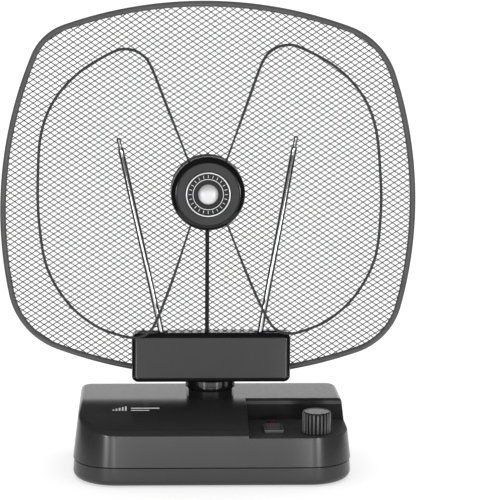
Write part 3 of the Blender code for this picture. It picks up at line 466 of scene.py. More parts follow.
def swept(points, radius, sides=14, closed=False, thicker=None):
    """Round wire along points in one upright plane facing Y.
    thicker gives the share of the radius that the wire has at a point."""
    across = Vector((0.0, 1.0, 0.0))
    bm = bmesh.new()
    count = len(points)
    rings = []
    for i, point in enumerate(points):
        before = points[(i - 1) % count] if closed or i > 0 else point
        after = points[(i + 1) % count] if closed or i < count - 1 else point
        up = (after - before).normalized().cross(across)
        reach = radius * (thicker(point) if thicker else 1.0)
        rings.append([bm.verts.new(point + reach * (cos(a) * up + sin(a) * across))
                      for a in (2 * pi * k / sides for k in range(sides))])
    skin(bm, rings, closed)
    return bm


# ---- base

def roof_z(y):
    """Height of the roof: level at the back, then curving down towards the front."""
    ahead = max(0.0, SLOPE_START_Y - y)
    return ROOF_Z - (SLOPE_RADIUS - sqrt(SLOPE_RADIUS ** 2 - ahead ** 2))


def base_side(inset, corner_steps, straight_steps):
    """Left half of the base's plan outline, from the front to the back."""
    half_width = BASE_HALF_WIDTH - inset
    half_depth = BASE_HALF_DEPTH - inset
    front = BASE_FRONT_CORNER - inset
    back = BASE_BACK_CORNER - inset
    points = []
    for i in range(corner_steps + 1):
        angle = radians(90) * i / corner_steps
        points.append((-(half_width - front) - front * sin(angle),
                       -(half_depth - front) - front * cos(angle)))
    straight = 2 * half_depth - front - back
    for i in range(1, straight_steps):
        points.append((-half_width, -(half_depth - front) + straight * i / straight_steps))
    for i in range(corner_steps + 1):
        angle = radians(90) * i / corner_steps
        points.append((-(half_width - back) - back * cos(angle),
                       half_depth - back + back * sin(angle)))
    return points


def upper_form(inset, bottom_z, drop, edge, corner_steps=14, straight_steps=18, edge_steps=7):
    """Closed form of the upper shell, or of the hollow in it when inset and dropped."""

    def plan(extra):
        return base_side(inset + extra, corner_steps, straight_steps)

    seam = plan(0.0)
    columns = []
    for i, (x, y) in enumerate(seam):
        lean = BASE_DRAFT * (roof_z(y) - drop - edge - SEAM_Z)
        column = [Vector((x, y, bottom_z))]
        for step in range(edge_steps + 1):
            angle = radians(90) * step / edge_steps
            px, py = plan(lean + edge * (1 - cos(angle)))[i]
            column.append(Vector((px, py, roof_z(py) - drop - edge * (1 - sin(angle)))))
        columns.append(column)
    bm = bmesh.new()
    levels = []
    for level in zip(*columns):
        left = [bm.verts.new(p) for p in level]
        right = [bm.verts.new((-p.x, p.y, p.z)) for p in reversed(level)]
        levels.append(left + right)
    bridge(bm, levels)
    bm.faces.new(levels[0])
    top = levels[-1]
    for i in range(len(seam) - 1):
        bm.faces.new((top[i], top[i + 1], top[-2 - i], top[-1 - i]))
    return bm


def recess_form(margin):
    """Form of the control recess, larger by the margin; it runs out past the base's front, side and top."""
    floor = RECESS_Z - margin
    foot = RECESS_BACK_FOOT_Y + margin
    past_front, past_side, past_top = -0.070, 0.120, 0.070
    wall = [(foot + RECESS_BACK_LEAN * (z - floor), z) for z in (floor, *RECESS_BAND_Z, past_top)]
    outline = [(past_front, floor)] + wall + [(past_front, past_top)]
    return side_prism(outline, RECESS_LEFT - margin, past_side)


def box_form(x, y, z, bm=None):
    """Box from its (low, high) in X, Y and Z."""
    return prism([(x[0], y[0]), (x[1], y[0]), (x[1], y[1]), (x[0], y[1])], z[0], z[1], bm)


def block(centre, half_x, half_y, z):
    """Box about a centre in X and Y."""
    x, y = centre
    return box_form((x - half_x, x + half_x), (y - half_y, y + half_y), z)


def hollow_form():
    """Space inside the upper shell, less the recess and its walls."""
    bm = upper_form(BASE_WALL, SEAM_Z - 0.003, BASE_WALL, 0.0010, 6, 6, 2)
    bmesh.ops.recalc_face_normals(bm, faces=bm.faces)
    obj = carved(as_object("hollow", as_mesh("hollow", bm)), [(CUT, recess_form(0.0020))])
    bm = bmesh.new()
    bm.from_mesh(obj.data)
    bpy.data.objects.remove(obj)
    return bm


def build_base():
    neck = upright(0.0, NECK_Y)
    low, top, bore = ROOF_Z - 0.0008, TURRET_TOP_Z, STEM_RADIUS + GAP
    turret = [(bore, low), (TURRET_RADIUS, low), (TURRET_RADIUS, ROOF_Z + 0.0001),
              (TURRET_RADIUS - 0.0002, ROOF_Z + 0.0004), (TURRET_RADIUS - 0.0002, top - 0.0007),
              (TURRET_RADIUS - 0.0004, top - 0.0003), (TURRET_RADIUS - 0.0008, top), (bore, top)]
    piece("neck_turret", turned(turret, neck, 128, ring=True), "gloss", "base", ["base_upper_shell"])

    holes = block(SWITCH_AT, 0.0061, 0.0083, (RECESS_Z - 0.0043, RECESS_Z + 0.0017))
    drill(holes, bore, ROOF_CUT_Z, neck, 48)
    drill(holes, KNOB_HOLE_RADIUS, PANEL_CUT_Z, upright(*KNOB_AT))
    drill(holes, LED_HOLE_RADIUS, PANEL_CUT_Z, upright(*LED_AT))
    drill(holes, DC_HOLE_RADIUS, BACK_CUT_Y, facing_back(DC_INLET_X, SOCKET_Z), 40)
    drill(holes, COAX_HOLE_RADIUS, BACK_CUT_Y, facing_back(COAX_OUTLET_X, SOCKET_Z), 40)
    upper = piece("base_upper", upper_form(0.0, SEAM_Z + GAP, 0.0, ROOF_EDGE),
                  ["housing", "recess", "sill_painted_light"], "base", ["base_upper_shell"], bevel=0.0005,
                  flat_faces=True,
                  tools=[(CUT, recess_form(0.0)), (CUT, hollow_form()), (CUT, holes)])
    paint_recess_shade_and_light(upper)

    def level(inset, z):
        left = base_side(inset, 14, 6)
        return [(x, y, z) for x, y in left] + [(-x, y, z) for x, y in reversed(left)]

    edge = 0.0045
    rounding = [(edge * (1 - cos(a)), FLOOR_Z + edge * (1 - sin(a))) for a in angles(90, -1, -10)]
    lower = loft([level(inset, z) for inset, z in rounding]
                 + [level(0.0006, SEAM_Z - 0.0004), level(0.0010, SEAM_Z)])
    holes = bmesh.new()
    for sx, sy in CORNERS.values():
        turned([(SCREW_HEAD_HOLE, 0.0), (SCREW_HEAD_HOLE, BASE_SCREW_SEAT_Z),
                (SCREW_HOLE, BASE_SCREW_SEAT_Z), (SCREW_HOLE, 0.0164)],
               upright(sx * BOSS_CENTRE[0], sy * BOSS_CENTRE[1]), 32, bm=holes)
        drill(holes, FOOT_RADIUS + GAP, (0.0, FLOOR_Z + 0.0010),
              upright(sx * FOOT_CENTRE[0], sy * FOOT_CENTRE[1]))
    piece("base_lower", lower, "housing", "base", ["base_lower_shell"], bevel=0.0003, flat_faces=True,
          tools=[(CUT, holes)])


def paint_recess_shade_and_light(upper):
    """Painted shade and light in the recess: its walls take the darker, duller recess finish and its floor a
    lighter one, except a band high on the back wall, which keeps the housing's finish.
    """
    for face in upper.data.polygons:
        x, y, z = face.center
        if x < RECESS_LEFT - 0.0002 or y > RECESS_BACK_FOOT_Y + 0.0012 or z < RECESS_Z - 0.0003:
            continue
        back = face.normal.y < -0.9 and y > RECESS_BACK_FOOT_Y - 0.0005
        left = face.normal.x > 0.9 and x < RECESS_LEFT + 0.0005
        if left or back and not RECESS_BAND_Z[0] < z < RECESS_BAND_Z[1]:
            face.material_index = 1
        elif face.normal.z > 0.9 and z < RECESS_Z + 0.0003:
            face.material_index = 2


def pan_screw(name, radius, depth, shank, length, matrix, body, node_name):
    """Screw with a domed head below the matrix's origin, a cross recess and a plain shank along its +Z."""
    dome = [(0.0, -depth)] + [(radius * sin(a), -depth * (0.35 + 0.65 * cos(a)))
                              for a in angles(15, 91, 15)]
    profile = dome + [(radius, 0.0), (shank, 0.0), (shank, length - shank), (0.0, length)]
    tools = []
    for turn in (0.0, radians(90)):
        slot = box_form((-radius * 0.55, radius * 0.55), (-radius * 0.11, radius * 0.11),
                        (-depth * 1.2, -depth * 0.35))
        slot.transform(matrix @ Matrix.Rotation(turn, 4, 'Z'))
        tools.append((CUT, slot))
    piece(name, turned(profile, matrix, 32), "steel", body, [node_name], tools=tools)


def build_fittings():
    for corner, (sx, sy) in CORNERS.items():
        radius, top, dimple = FOOT_RADIUS, FLOOR_Z + 0.0007, 0.0003
        pad = [(0.0, dimple), (radius - 0.0022, dimple), (radius - 0.0019, 0.0), (radius - 0.0004, 0.0),
               (radius - 0.0001, 0.0001), (radius, 0.0004), (radius, top), (0.0, top)]
        piece("foot_pad_" + corner, turned(pad, upright(sx * FOOT_CENTRE[0], sy * FOOT_CENTRE[1]), 48),
              "rubber", "base", ["foot_" + corner])
        seat = upright(sx * BOSS_CENTRE[0], sy * BOSS_CENTRE[1], BASE_SCREW_SEAT_Z - GAP)
        pan_screw("case_screw_" + corner, SCREW_HEAD_RADIUS, 0.0019, SCREW_SHANK_RADIUS, 0.0165, seat,
                  "base", "base_screw_" + corner)

    for name, x, mouth, bore, contact, nose in (
            ("dc_inlet", DC_INLET_X, 0.0495, 0.0031, 0.0010, 0.0049),
            ("coax_outlet", COAX_OUTLET_X, 0.0503, 0.0047, 0.0015, 0.0060)):
        body_radius, inner_end, body_end, well = 0.0061, 0.0330, 0.0450, 0.0395
        shell = [(0.0, inner_end), (body_radius, inner_end), (body_radius, body_end), (nose, body_end),
                 (nose, mouth - 0.0003), (nose - 0.0003, mouth), (bore + 0.0003, mouth),
                 (bore, mouth - 0.0003), (bore, well), (contact, well), (contact, mouth - 0.0018),
                 (contact * 0.5, mouth - 0.0010), (0.0, mouth - 0.0010)]
        metal_nose = 1 if name == "coax_outlet" else 0
        bands = [0] * 4 + [metal_nose] * 4 + [1] * 4
        piece(name + "_socket", turned(shell, facing_back(x, SOCKET_Z), 48, mats=bands),
              ["socket", "steel"], "base", [name])

    low, leg, radius, dome_z, dome = 0.0203, 0.0017, 0.0025, 0.0341, 0.0022
    lens = [(0.0, low), (leg, low), (leg, 0.0309), (radius, 0.0312), (radius, 0.0340)]
    lens += [(radius * cos(a), dome_z + dome * sin(a)) for a in angles(0, 90, 15)]
    piece("led_lens", turned(lens + [(0.0, dome_z + dome)], upright(*LED_AT), 40), "led", "base",
          ["power_led"])


def printed_mark():
    """Plain printed mark on the slope: a row of rising bars and two rules, no lettering."""
    bm = bmesh.new()
    lift = 0.00012

    def patch(x0, x1, y0, y1):
        rows = 8
        levels = []
        for i in range(rows + 1):
            y = y0 + (y1 - y0) * i / rows
            levels.append([bm.verts.new((x, y, roof_z(y) + h)) for x, h in
                           ((x0, -lift), (x1, -lift), (x1, lift), (x0, lift))])
        skin(bm, levels)

    left, low = -0.0680, -0.0225
    pitch, width, shortest, rise = 0.0021, 0.0012, 0.0016, 0.0012
    for i in range(5):
        patch(left + pitch * i, left + pitch * i + width, low, low + shortest + rise * i)
    rules = left + 0.0125
    patch(rules, left + 0.0320, low + 0.0030, low + 0.0042)
    patch(rules, left + 0.0250, low, low + 0.0008)
    piece("printed_mark", bm, "print", "base", angle=60)


def build_controls():
    x, y = KNOB_AT
    low, high = KNOB_Z
    rib_depth, shallow, rib_steps = 0.0012, 0.0004, 12

    def ribbed(scale, z, deep=rib_depth):
        points = []
        for i in range(KNOB_RIBS * rib_steps):
            phase = (i % rib_steps) / rib_steps
            groove = min(1.0, max(0.0, 0.5 + 1.1 * cos(2 * pi * phase)))
            radius = scale * (KNOB_RADIUS - deep * groove)
            angle = 2 * pi * i / (KNOB_RIBS * rib_steps)
            points.append((x + radius * cos(angle), y + radius * sin(angle), z))
        return points

    sections = [ribbed(0.985, low, shallow), ribbed(1.0, low + 0.0003), ribbed(1.0, high - 0.0014),
                ribbed(0.985, high - 0.0008), ribbed(0.955, high - 0.0003, shallow),
                ribbed(0.90, high, 0.0), ribbed(0.84, high, 0.0), ribbed(0.82, high - 0.0002, 0.0),
                ribbed(0.20, high - 0.0002, 0.0)]
    bore = bmesh.new()
    drill(bore, 0.0032, (0.0324, 0.0437), upright(x, y))
    pointer = box_form((x - 0.0003, x + 0.0003), (y - 0.0078, y - 0.0040), (high - 0.0006, high + 0.001))
    pointer.transform(upright(x, y) @ Matrix.Rotation(POINTER_TURN, 4, 'Z') @ upright(-x, -y))
    knob = piece("gain_knob_ribbed", loft(sections), ["knob", "recess"], "gain", ["gain_knob"], angle=30,
                 tools=[(CUT, bore), (CUT, pointer)])
    # Painted shade: the bottoms of the side grooves take the darker, duller recess finish, and so does the
    # outer band of the top.
    for face in knob.data.polygons:
        reach = hypot(face.center.x - x, face.center.y - y)
        side_groove = abs(face.normal.z) < 0.5 and reach < KNOB_RADIUS - 0.0005
        top_groove = face.normal.z > 0.5 and reach > KNOB_RADIUS * 0.84
        if side_groove or top_groove:
            face.material_index = 1

    bezel = prism(rounded_rectangle(0.0067, 0.0087, 0.0008, 4, SWITCH_AT), RECESS_Z + GAP, RECESS_Z + 0.0023)
    can = block(SWITCH_AT, 0.0058, 0.0080, (0.0203, RECESS_Z + 0.0012))
    pocket = block(SWITCH_AT, 0.0052, 0.0073, (ROCKER_PIVOT_Z - 0.0056, 0.0380))
    piece("switch_bezel", bezel, "knob", "base", ["power_switch_body"], bevel=0.0003,
          tools=[(ADD, can), (CUT, pocket)])

    x, y = SWITCH_AT
    reach, low_side, high_side, half_width, steps = 0.0070, 0.0028, 0.0044, 0.0049, 10
    below = radians(30)
    low_corner = asin(low_side / reach)
    high_corner = asin(high_side / reach)
    far_arc = [-below + (high_corner + below) * i / steps for i in range(steps + 1)]
    near_arc = [pi - low_corner + (low_corner + below) * i / steps for i in range(steps + 1)]
    outline = [(reach * cos(a), reach * sin(a)) for a in far_arc]
    outline.append((0.0, low_side))
    outline += [(reach * cos(a), reach * sin(a)) for a in near_arc]
    cap = side_prism([(y + v, ROCKER_PIVOT_Z + w) for v, w in outline], x - half_width, x + half_width)
    piece("rocker_cap", cap, "knob", "rocker", ["power_rocker"], bevel=0.0004, segments=3)


# ---- neck and head box

def build_neck():
    low = TURRET_TOP_Z + GAP
    top = BOX_Z[0] - GAP
    groove, stem_end = 0.0575, 0.0392
    profile = [(LEAD_BORE, stem_end), (STEM_RADIUS, stem_end), (STEM_RADIUS, low),
               (NECK_RADIUS - 0.0005, low), (NECK_RADIUS - 0.00015, low + 0.00015),
               (NECK_RADIUS, low + 0.0005), (NECK_RADIUS, groove), (NECK_RADIUS - 0.0003, groove + 0.0002),
               (NECK_RADIUS - 0.0003, groove + 0.0005), (NECK_RADIUS, groove + 0.0007),
               (NECK_RADIUS, top), (LEAD_BORE, top)]
    piece("neck_collar", turned(profile, upright(0.0, NECK_Y), 128, ring=True), "gloss", "head",
          ["swivel_collar"])


def box_section(inset, y, half_width=BOX_HALF_WIDTH, z=BOX_Z, radius=BOX_CORNER):
    """Rounded outline of a cover of the head box at a depth y."""
    mid, half = (z[0] + z[1]) / 2, (z[1] - z[0]) / 2
    least_radius, steps = 0.0012, 8
    outline = rounded_rectangle(half_width - inset, half - inset, max(radius - inset, least_radius), steps,
                                (0.0, mid))
    return [(x, y, height) for x, height in outline]


def rim_channel():
    """Channel through the head's covers for the reflector's rim."""
    reach, top = 0.075, 0.087
    lower = [p for p in reflector_outline(RIM_RADIUS, 1) if p.z < top and abs(p.x) < reach]
    return swept(sorted(lower, key=lambda p: p.x), RIM_RADIUS + 0.0004, 16)


def build_head():
    rear_edge = MESH_Y - 0.0006
    rounding = [(BOX_EDGE * (1 - sin(a)), BOX_FRONT_Y + BOX_EDGE * (1 - cos(a)))
                for a in angles(0, 91, 10)]
    front = loft([box_section(inset, y) for inset, y in rounding] + [box_section(0.0, rear_edge)])
    hollow = loft([box_section(BOX_WALL, BOX_FRONT_Y + 0.0022), box_section(BOX_WALL, 0.020)])
    slots = bmesh.new()
    drill(slots, FEED_HOLE_RADIUS, (0.0920, 0.0990), upright(HUB.x, ROD_Y), 24)
    for side in SIDES:
        ends = sorted(side * x for x in ROD_SLOT_X)
        box_form(ends, (ROD_Y - ROD_SLOT_HALF_DEPTH, ROD_Y + ROD_SLOT_HALF_DEPTH), (0.0925, 0.0985), slots)
    box = piece("head_front", front, ["housing", "ring", "recess", "gloss"], "head",
                ["head_front_shell"], bevel=0.0003, flat_faces=True,
                tools=[(CUT, hollow), (CUT, slots), (CUT, rim_channel())])
    # Painted light and shade by facing: the underside and top take darker finishes as painted shade, the
    # upright edges a glossier one as painted highlight; the flat front stays as it is.
    level = 0.08
    for face in box.data.polygons:
        if face.normal.z < -level:
            face.material_index = 2
        elif face.normal.y > -0.999:
            face.material_index = 3 if abs(face.normal.z) < level else 1

    rear_z = (BOX_Z[0], REAR_TOP_Z)
    front_edge = MESH_Y + 0.0006
    edge = 0.0040
    rounding = [(edge * (1 - sin(a)), REAR_BACK_Y - edge * (1 - cos(a))) for a in angles(90, -1, -10)]
    rear = loft([box_section(0.0, front_edge, REAR_HALF_WIDTH, rear_z)]
                + [box_section(inset, y, REAR_HALF_WIDTH, rear_z, 0.0060) for inset, y in rounding])
    hollow = loft([box_section(BOX_WALL, y, REAR_HALF_WIDTH, rear_z) for y in (0.0050, REAR_BACK_Y - 0.0022)])
    bosses = bmesh.new()
    bores = bmesh.new()
    drill(bores, LEAD_BORE, (0.0600, 0.0650), upright(0.0, NECK_Y), 24)
    for side in SIDES:
        matrix = facing_back(side * HEAD_SCREW[0], HEAD_SCREW[1])
        drill(bosses, 0.0044, (front_edge, REAR_BACK_Y - 0.0010), matrix, 24)
        turned([(SCREW_HOLE, 0.0080), (SCREW_HOLE, HEAD_SCREW_SEAT_Y), (SCREW_HEAD_HOLE, HEAD_SCREW_SEAT_Y),
                (SCREW_HEAD_HOLE, 0.0340)], matrix, 32, bm=bores)
    piece("head_rear", rear, "housing", "head", ["head_rear_cover"], bevel=0.0003, flat_faces=True,
          tools=[(CUT, hollow), (ADD, bosses), (CUT, bores), (CUT, rim_channel())])
    for side, name in SIDES.items():
        seat = facing_front(side * HEAD_SCREW[0], HEAD_SCREW_SEAT_Y + GAP, HEAD_SCREW[1])
        pan_screw("cover_screw_" + name, SCREW_HEAD_RADIUS, 0.0018, SCREW_SHANK_RADIUS, 0.0255, seat,
                  "head", "head_screw_" + name)


# ---- reflector

def fillet_centre(one, two, radius):
    """Centre of an arc that touches two larger circles, (x, z, radius), from inside, on the right."""
    (x1, z1, r1), (x2, z2, r2) = one, two
    d1, d2 = r1 - radius, r2 - radius
    gap = hypot(x2 - x1, z2 - z1)
    reach = (d1 * d1 - d2 * d2 + gap * gap) / (2 * gap)
    off = sqrt(d1 * d1 - reach * reach)
    ux, uz = (x2 - x1) / gap, (z2 - z1) / gap
    spots = [(x1 + reach * ux - s * off * uz, z1 + reach * uz + s * off * ux) for s in (-1, 1)]
    return max(spots, key=lambda p: p[0])


def bearing(x, z, centre_x, centre_z):
    return atan2(z - centre_z, x - centre_x)


def half_outline(inset, upper, lower, fineness):
    """Right half of the rim's outline, from the middle of the top round to the middle of the bottom."""
    top, side, bottom = RIM_TOP, RIM_SIDE, RIM_BOTTOM
    ux, uz = fillet_centre(top, side, upper)
    lx, lz = fillet_centre(bottom, side, lower)
    top_end = bearing(ux, uz, *top[:2])
    side_high = bearing(ux, uz, *side[:2])
    side_low = bearing(lx, lz, *side[:2])
    bottom_start = bearing(lx, lz, *bottom[:2])
    arcs = ((top, pi / 2, top_end, 7), ((ux, uz, upper), top_end, side_high, 7),
            (side, side_high, side_low, 9), ((lx, lz, lower), side_low, bottom_start, 7),
            (bottom, bottom_start, -pi / 2, 7))
    points = []
    for (cx, cz, radius), start, end, steps in arcs:
        for i in range(steps * fineness):
            angle = start + (end - start) * i / (steps * fineness)
            points.append((cx + (radius - inset) * cos(angle), cz + (radius - inset) * sin(angle)))
    return points + [(0.0, bottom[1] - bottom[2] + inset)]


def rolled(u, v, roll, centre_z):
    """X and Z of a point given from a centre, after a roll about it."""
    return u * cos(roll) - v * sin(roll), centre_z + u * sin(roll) + v * cos(roll)


def reflector_outline(inset, fineness):
    """Outline of flat arcs with rounder ones at the corners, rolled about the middle."""

    def whole(amount, fine):
        right = half_outline(amount, *RIM_CORNERS["right"], fine)
        left = half_outline(amount, *RIM_CORNERS["left"], fine)
        flat = right + [(-x, z) for x, z in reversed(left[1:-1])]
        return [rolled(x, z - REFLECTOR_CENTRE_Z, REFLECTOR_ROLL, REFLECTOR_CENTRE_Z) for x, z in flat]

    outer = [x for x, z in whole(0.0, 1)]
    shift = REFLECTOR_X - (max(outer) + min(outer)) / 2
    return [Vector((x + shift, MESH_Y, z)) for x, z in whole(inset, fineness)]


def crossings(start, end, border):
    """Shares along a segment, in X and Z, where it crosses the closed border."""
    found = []
    dx, dz = end[0] - start[0], end[1] - start[1]
    for (x1, z1), (x2, z2) in zip(border, border[1:] + border[:1]):
        ex, ez = x2 - x1, z2 - z1
        cross = dx * ez - dz * ex
        if abs(cross) < PARALLEL:
            continue
        t = ((x1 - start[0]) * ez - (z1 - start[1]) * ex) / cross
        u = ((x1 - start[0]) * dz - (z1 - start[1]) * dx) / cross
        if 0.0 <= t <= 1.0 and 0.0 <= u < 1.0:
            found.append(t)
    return sorted(found)


def inside(point, border):
    x, z = point
    count = sum((z1 > z) != (z2 > z) and x < x1 + (z - z1) * (x2 - x1) / (z2 - z1)
                for (x1, z1), (x2, z2) in zip(border, border[1:] + border[:1]))
    return count % 2 == 1


def zigzags(border):
    """Runs of points of expanded metal: each row's zigzag meets the next one at its peaks."""
    runs = []
    for row in range(-MESH_ROWS, MESH_ROWS + 1):
        sign = 1 if row % 2 == 0 else -1
        line = []
        for column in range(-MESH_COLUMNS, MESH_COLUMNS + 1):
            u = column * CELL_WIDTH / 2
            v = row * CELL_HEIGHT / 2 + sign * (1 if column % 2 == 0 else -1) * CELL_HEIGHT / 4
            line.append(rolled(u, v, REFLECTOR_ROLL, REFLECTOR_CENTRE_Z))
        run = []
        for start, end in zip(line, line[1:]):
            stops = [0.0] + crossings(start, end, border) + [1.0]
            for low, high in zip(stops, stops[1:]):
                mid = 0.5 * (low + high)
                if high - low < NO_LENGTH or not inside(along(start, end, mid), border):
                    if len(run) > 1:
                        runs.append(run)
                    run = []
                    continue
                if not run:
                    run = [along(start, end, low)]
                run.append(along(start, end, high))
        if len(run) > 1:
            runs.append(run)
    return runs


def along(start, end, share):
    return (start[0] + (end[0] - start[0]) * share, start[1] + (end[1] - start[1]) * share)


def expanded_metal():
    """Mesh of the reflector: thin slanted strands along the zigzags."""
    border = [(p.x, p.z) for p in reflector_outline(RIM_RADIUS, 1)]
    bm = bmesh.new()
    slope = hypot(CELL_WIDTH, CELL_HEIGHT) / CELL_WIDTH
    half = STRAND_HALF_WIDTH * slope
    for run in zigzags(border):
        rings = []
        for x, z in run:
            rings.append([bm.verts.new((x, MESH_Y + dy, z + dz)) for dz, dy in
                          ((-half, -STRAND_HALF_DEPTH * 0.4), (half, -STRAND_HALF_DEPTH),
                           (half, STRAND_HALF_DEPTH * 0.4), (-half, STRAND_HALF_DEPTH))])
        skin(bm, rings)
    piece("expanded_metal", bm, "mesh", "head", ["reflector_mesh"], angle=25)


# ---- hub, loops and rods

def loop_route(side):
    """Centre line of one wire loop, on the left (-1) or right (1), rolled about the hub."""
    points = []
    for x, z in LOOP_POINTS:
        offset = HUB.x * (1.0 - (1.0 - LOOP_KEEP) * min(1.0, x / LOOP_REACH))
        x, z = rolled(side * x, z - HUB.z, LOOP_ROLL, HUB.z)
        points.append((offset + x, LOOP_Y, z))
    return points


def from_front(profile):
    """Turned profile with its heights measured back from the hub's front."""
    return [(radius, HUB_FRONT_Y + depth) for radius, depth in profile]


def build_hub():
    matrix = facing_back(HUB.x, HUB.z)
    edge, half_seam, hole = 0.0003, 0.00015, 0.0017
    hollow = HUB_RADIUS - HUB_WALL
    seam, inner_back, back = LOOP_Y + half_seam, 0.0072, 0.0092
    drum = [(HUB_RADIUS - edge, seam), (HUB_RADIUS, seam + edge), (HUB_RADIUS, back - 0.0009),
            (HUB_RADIUS - edge, back - edge), (HUB_RADIUS - 0.0009, back), (hole, back),
            (hole, inner_back), (hollow, inner_back), (hollow, seam)]
    piece("hub_drum", turned(drum, matrix, 128, ring=True), "drum", "head", ["hub_body"])

    face, seat, post, post_end, bore, bore_end = HUB_RADIUS - 0.0042, 0.0156, 0.0044, 0.0069, 0.0015, -0.0060
    seam = LOOP_Y - half_seam
    profile = from_front([
        (0.0, 0.0018), (seat, 0.0018), (seat, 0.0002), (seat + 0.0002, 0.0), (face - 0.0002, 0.0),
        (face, 0.0002), (face + 0.0002, 0.0002), (face + 0.0010, edge), (face + 0.0022, 0.0009),
        (face + 0.0032, 0.0019), (HUB_RADIUS - edge, 0.0030), (HUB_RADIUS, 0.0042)])
    profile += [(HUB_RADIUS, seam - edge), (HUB_RADIUS - edge, seam), (hollow, seam)]
    profile += from_front([(hollow, 0.0038), (post, 0.0038)])
    profile += [(post, post_end), (bore, post_end), (bore, bore_end), (0.0, bore_end - 0.0004)]
    bands = [1] * 5 + [0] * (len(profile) - 6)
    piece("hub_bezel", turned(profile, matrix, 128, mats=bands), ["ring", "face"], "head", ["hub_cap"])
    build_medallion(matrix)

    low = MESH_Y + 0.0006
    high = low + 0.0016
    ring, groove = low + 0.0010, low + 0.0012
    washer = [(hole, low), (0.0200, low), (0.0200, ring), (0.0195, low + 0.0014), (0.0185, high),
              (0.0120, high), (0.0117, groove), (0.0108, groove), (0.0105, high), (hole, high)]
    piece("clamp_washer", turned(washer, matrix, 96, ring=True), "steel", "head", ["hub_washer"])
    pan_screw("clamp_screw", 0.0032, 0.0022, 0.0011, 0.0160, facing_front(HUB.x, high + GAP, HUB.z),
              "head", "hub_screw")


def build_medallion(matrix):
    """Bright dome between dark bands, with two raised rings and a circle of fine ticks."""
    radius, sunk = 0.0068, 0.0005
    dome = [(radius * cos(a), 0.0004 - 0.0024 * sin(a)) for a in angles(0, 90, 10)]
    profile = from_front([
        (0.0, 0.0015), (0.0153, 0.0015), (0.0153, -0.0003), (0.0151, -0.0006), (0.0147, -0.0007),
        (0.0143, -0.0006), (0.0141, -0.0003), (0.0139, sunk), (0.0106, sunk), (0.0105, 0.0002),
        (0.0101, 0.0002), (0.0100, sunk), (radius, sunk)] + dome + [(0.0, -0.0020)])
    bands = [1, 1, 1, 0, 0, 1, 1, 1, 1, 0, 1, 1] + [0] * (len(dome) + 1)
    bm = turned(profile, matrix, 128, mats=bands)
    half_width, ticks = 0.00018, 24
    tick_z = (HUB_FRONT_Y + 0.0002, HUB_FRONT_Y + 0.0007)
    for i in range(ticks):
        tick = box_form((-half_width, half_width), (0.0113, 0.0132), tick_z)
        tick.transform(matrix @ Matrix.Rotation(2 * pi * i / ticks, 4, 'Z'))
        mesh = as_mesh("tick", tick)
        bm.from_mesh(mesh)
        bpy.data.meshes.remove(mesh)
    piece("hub_medallion", bm, ["bright", "dark"], "head", ["hub_inlay"])


def sleeve(point):
    """The wire's legs are bare near the hub and carry a thin sleeve from there on."""
    share = ((point - HUB).length - SLEEVE_START) / SLEEVE_TAPER
    return 0.88 + 0.30 * min(1.0, max(0.0, share))


def build_wires():
    for side, name in SIDES.items():
        piece("loop_wire_" + name, swept(catmull_rom(loop_route(side), 8), WIRE_RADIUS, thicker=sleeve),
              "wire", "head", ["wire_loop_" + name])
    radius, low, step = 0.0014, 0.0904, 0.0082
    piece("feed_wire", swept([Vector((HUB.x, ROD_Y, low + step * i)) for i in range(11)], radius, 20),
          "drum", "head", ["feed_tube"])


def build_rod(sign, side):
    """One telescopic rod, pushed in: three tubes with a swaged ring near their tops, a core and its tip."""
    matrix = upright(sign * ROD_PIVOT_X, ROD_Y, ROD_PIVOT_Z) @ Matrix.Rotation(ROD_TILT[side], 4, 'Y')
    bodies = [side + "_rod"] + ["%s_rod_%d" % (side, k) for k in (2, 3, 4)]
    top, edge, sunk = TUBE_TOP, 0.0001, 0.00012
    for number, ((outer, inner), bottom) in enumerate(zip(TUBE_RADII, TUBE_BOTTOMS), 1):
        profile = [(inner, bottom), (outer - edge, bottom), (outer, bottom + edge),
                   (outer, top - 0.0062), (outer - sunk, top - 0.0058), (outer - sunk, top - 0.0050),
                   (outer, top - 0.0046), (outer, top - 0.0008), (outer - 0.00005, top - 0.0003),
                   (outer - 0.00018, top), (inner, top)]
        piece("section_%d_%s" % (number, side), turned(profile, matrix, 40, ring=True), "chrome",
              bodies[number - 1], ["rod_tube_%d_%s" % (number, side)])
    radius, bottom = CORE
    core_top = top + 0.0030
    core = [(0.0, bottom), (radius - edge, bottom), (radius, bottom + edge), (radius, core_top),
            (0.0, core_top)]
    piece("section_4_" + side, turned(core, matrix, 28), "chrome", bodies[3], ["rod_core_" + side])
    low, bore, bore_top, waist, radius = top + GAP, 0.0011, top + 0.0035, 0.00135, 0.0016
    profile = [(bore, low), (0.0014, low), (radius, low + 0.0003), (radius, low + 0.0012),
               (waist, low + 0.0015), (waist, low + 0.0042), (radius, low + 0.0046),
               (radius, TIP_TOP - 0.0010), (0.0014, TIP_TOP - 0.0005), (0.0009, TIP_TOP - 0.0001),
               (0.0003, TIP_TOP), (0.0, TIP_TOP), (0.0, bore_top), (bore, bore_top)]
    piece("end_cap_" + side, turned(profile, matrix, 40, ring=True), "chrome", bodies[3], ["rod_tip_" + side])


# ---- carried-over nodes

def repaint():
    """Procedural materials on the CAD nodes that stay, most of them inside the housings."""
    plain = {
        "board": ["amplifier_board", "matching_board"],
        "steel": ["ballast_plate", "board_screw_1", "board_screw_2", "gain_pot_shaft"],
        "socket": ["gain_pot_body", "head_back_plate"], "rubber": ["inner_lead"],
        "brass": ["lead_socket", "swivel_nut"], "chrome": []}
    for side in SIDES.values():
        plain["brass"].append("rod_bracket_" + side)
        plain["steel"].append("rod_pin_" + side)
        plain["chrome"].append("rod_knuckle_" + side)
    for key, names in plain.items():
        for name in names:
            materials = NODES[name].data.materials
            materials.clear()
            materials.append(MATS[key])


# ---- floor, light and camera

def stage_sheet(name, corners, mat):
    """Flat four-cornered backdrop."""
    bm = bmesh.new()
    bm.faces.new([bm.verts.new(corner) for corner in corners])
    obj = as_object(name, as_mesh(name, bm))
    obj.data.materials.append(mat)
    return obj


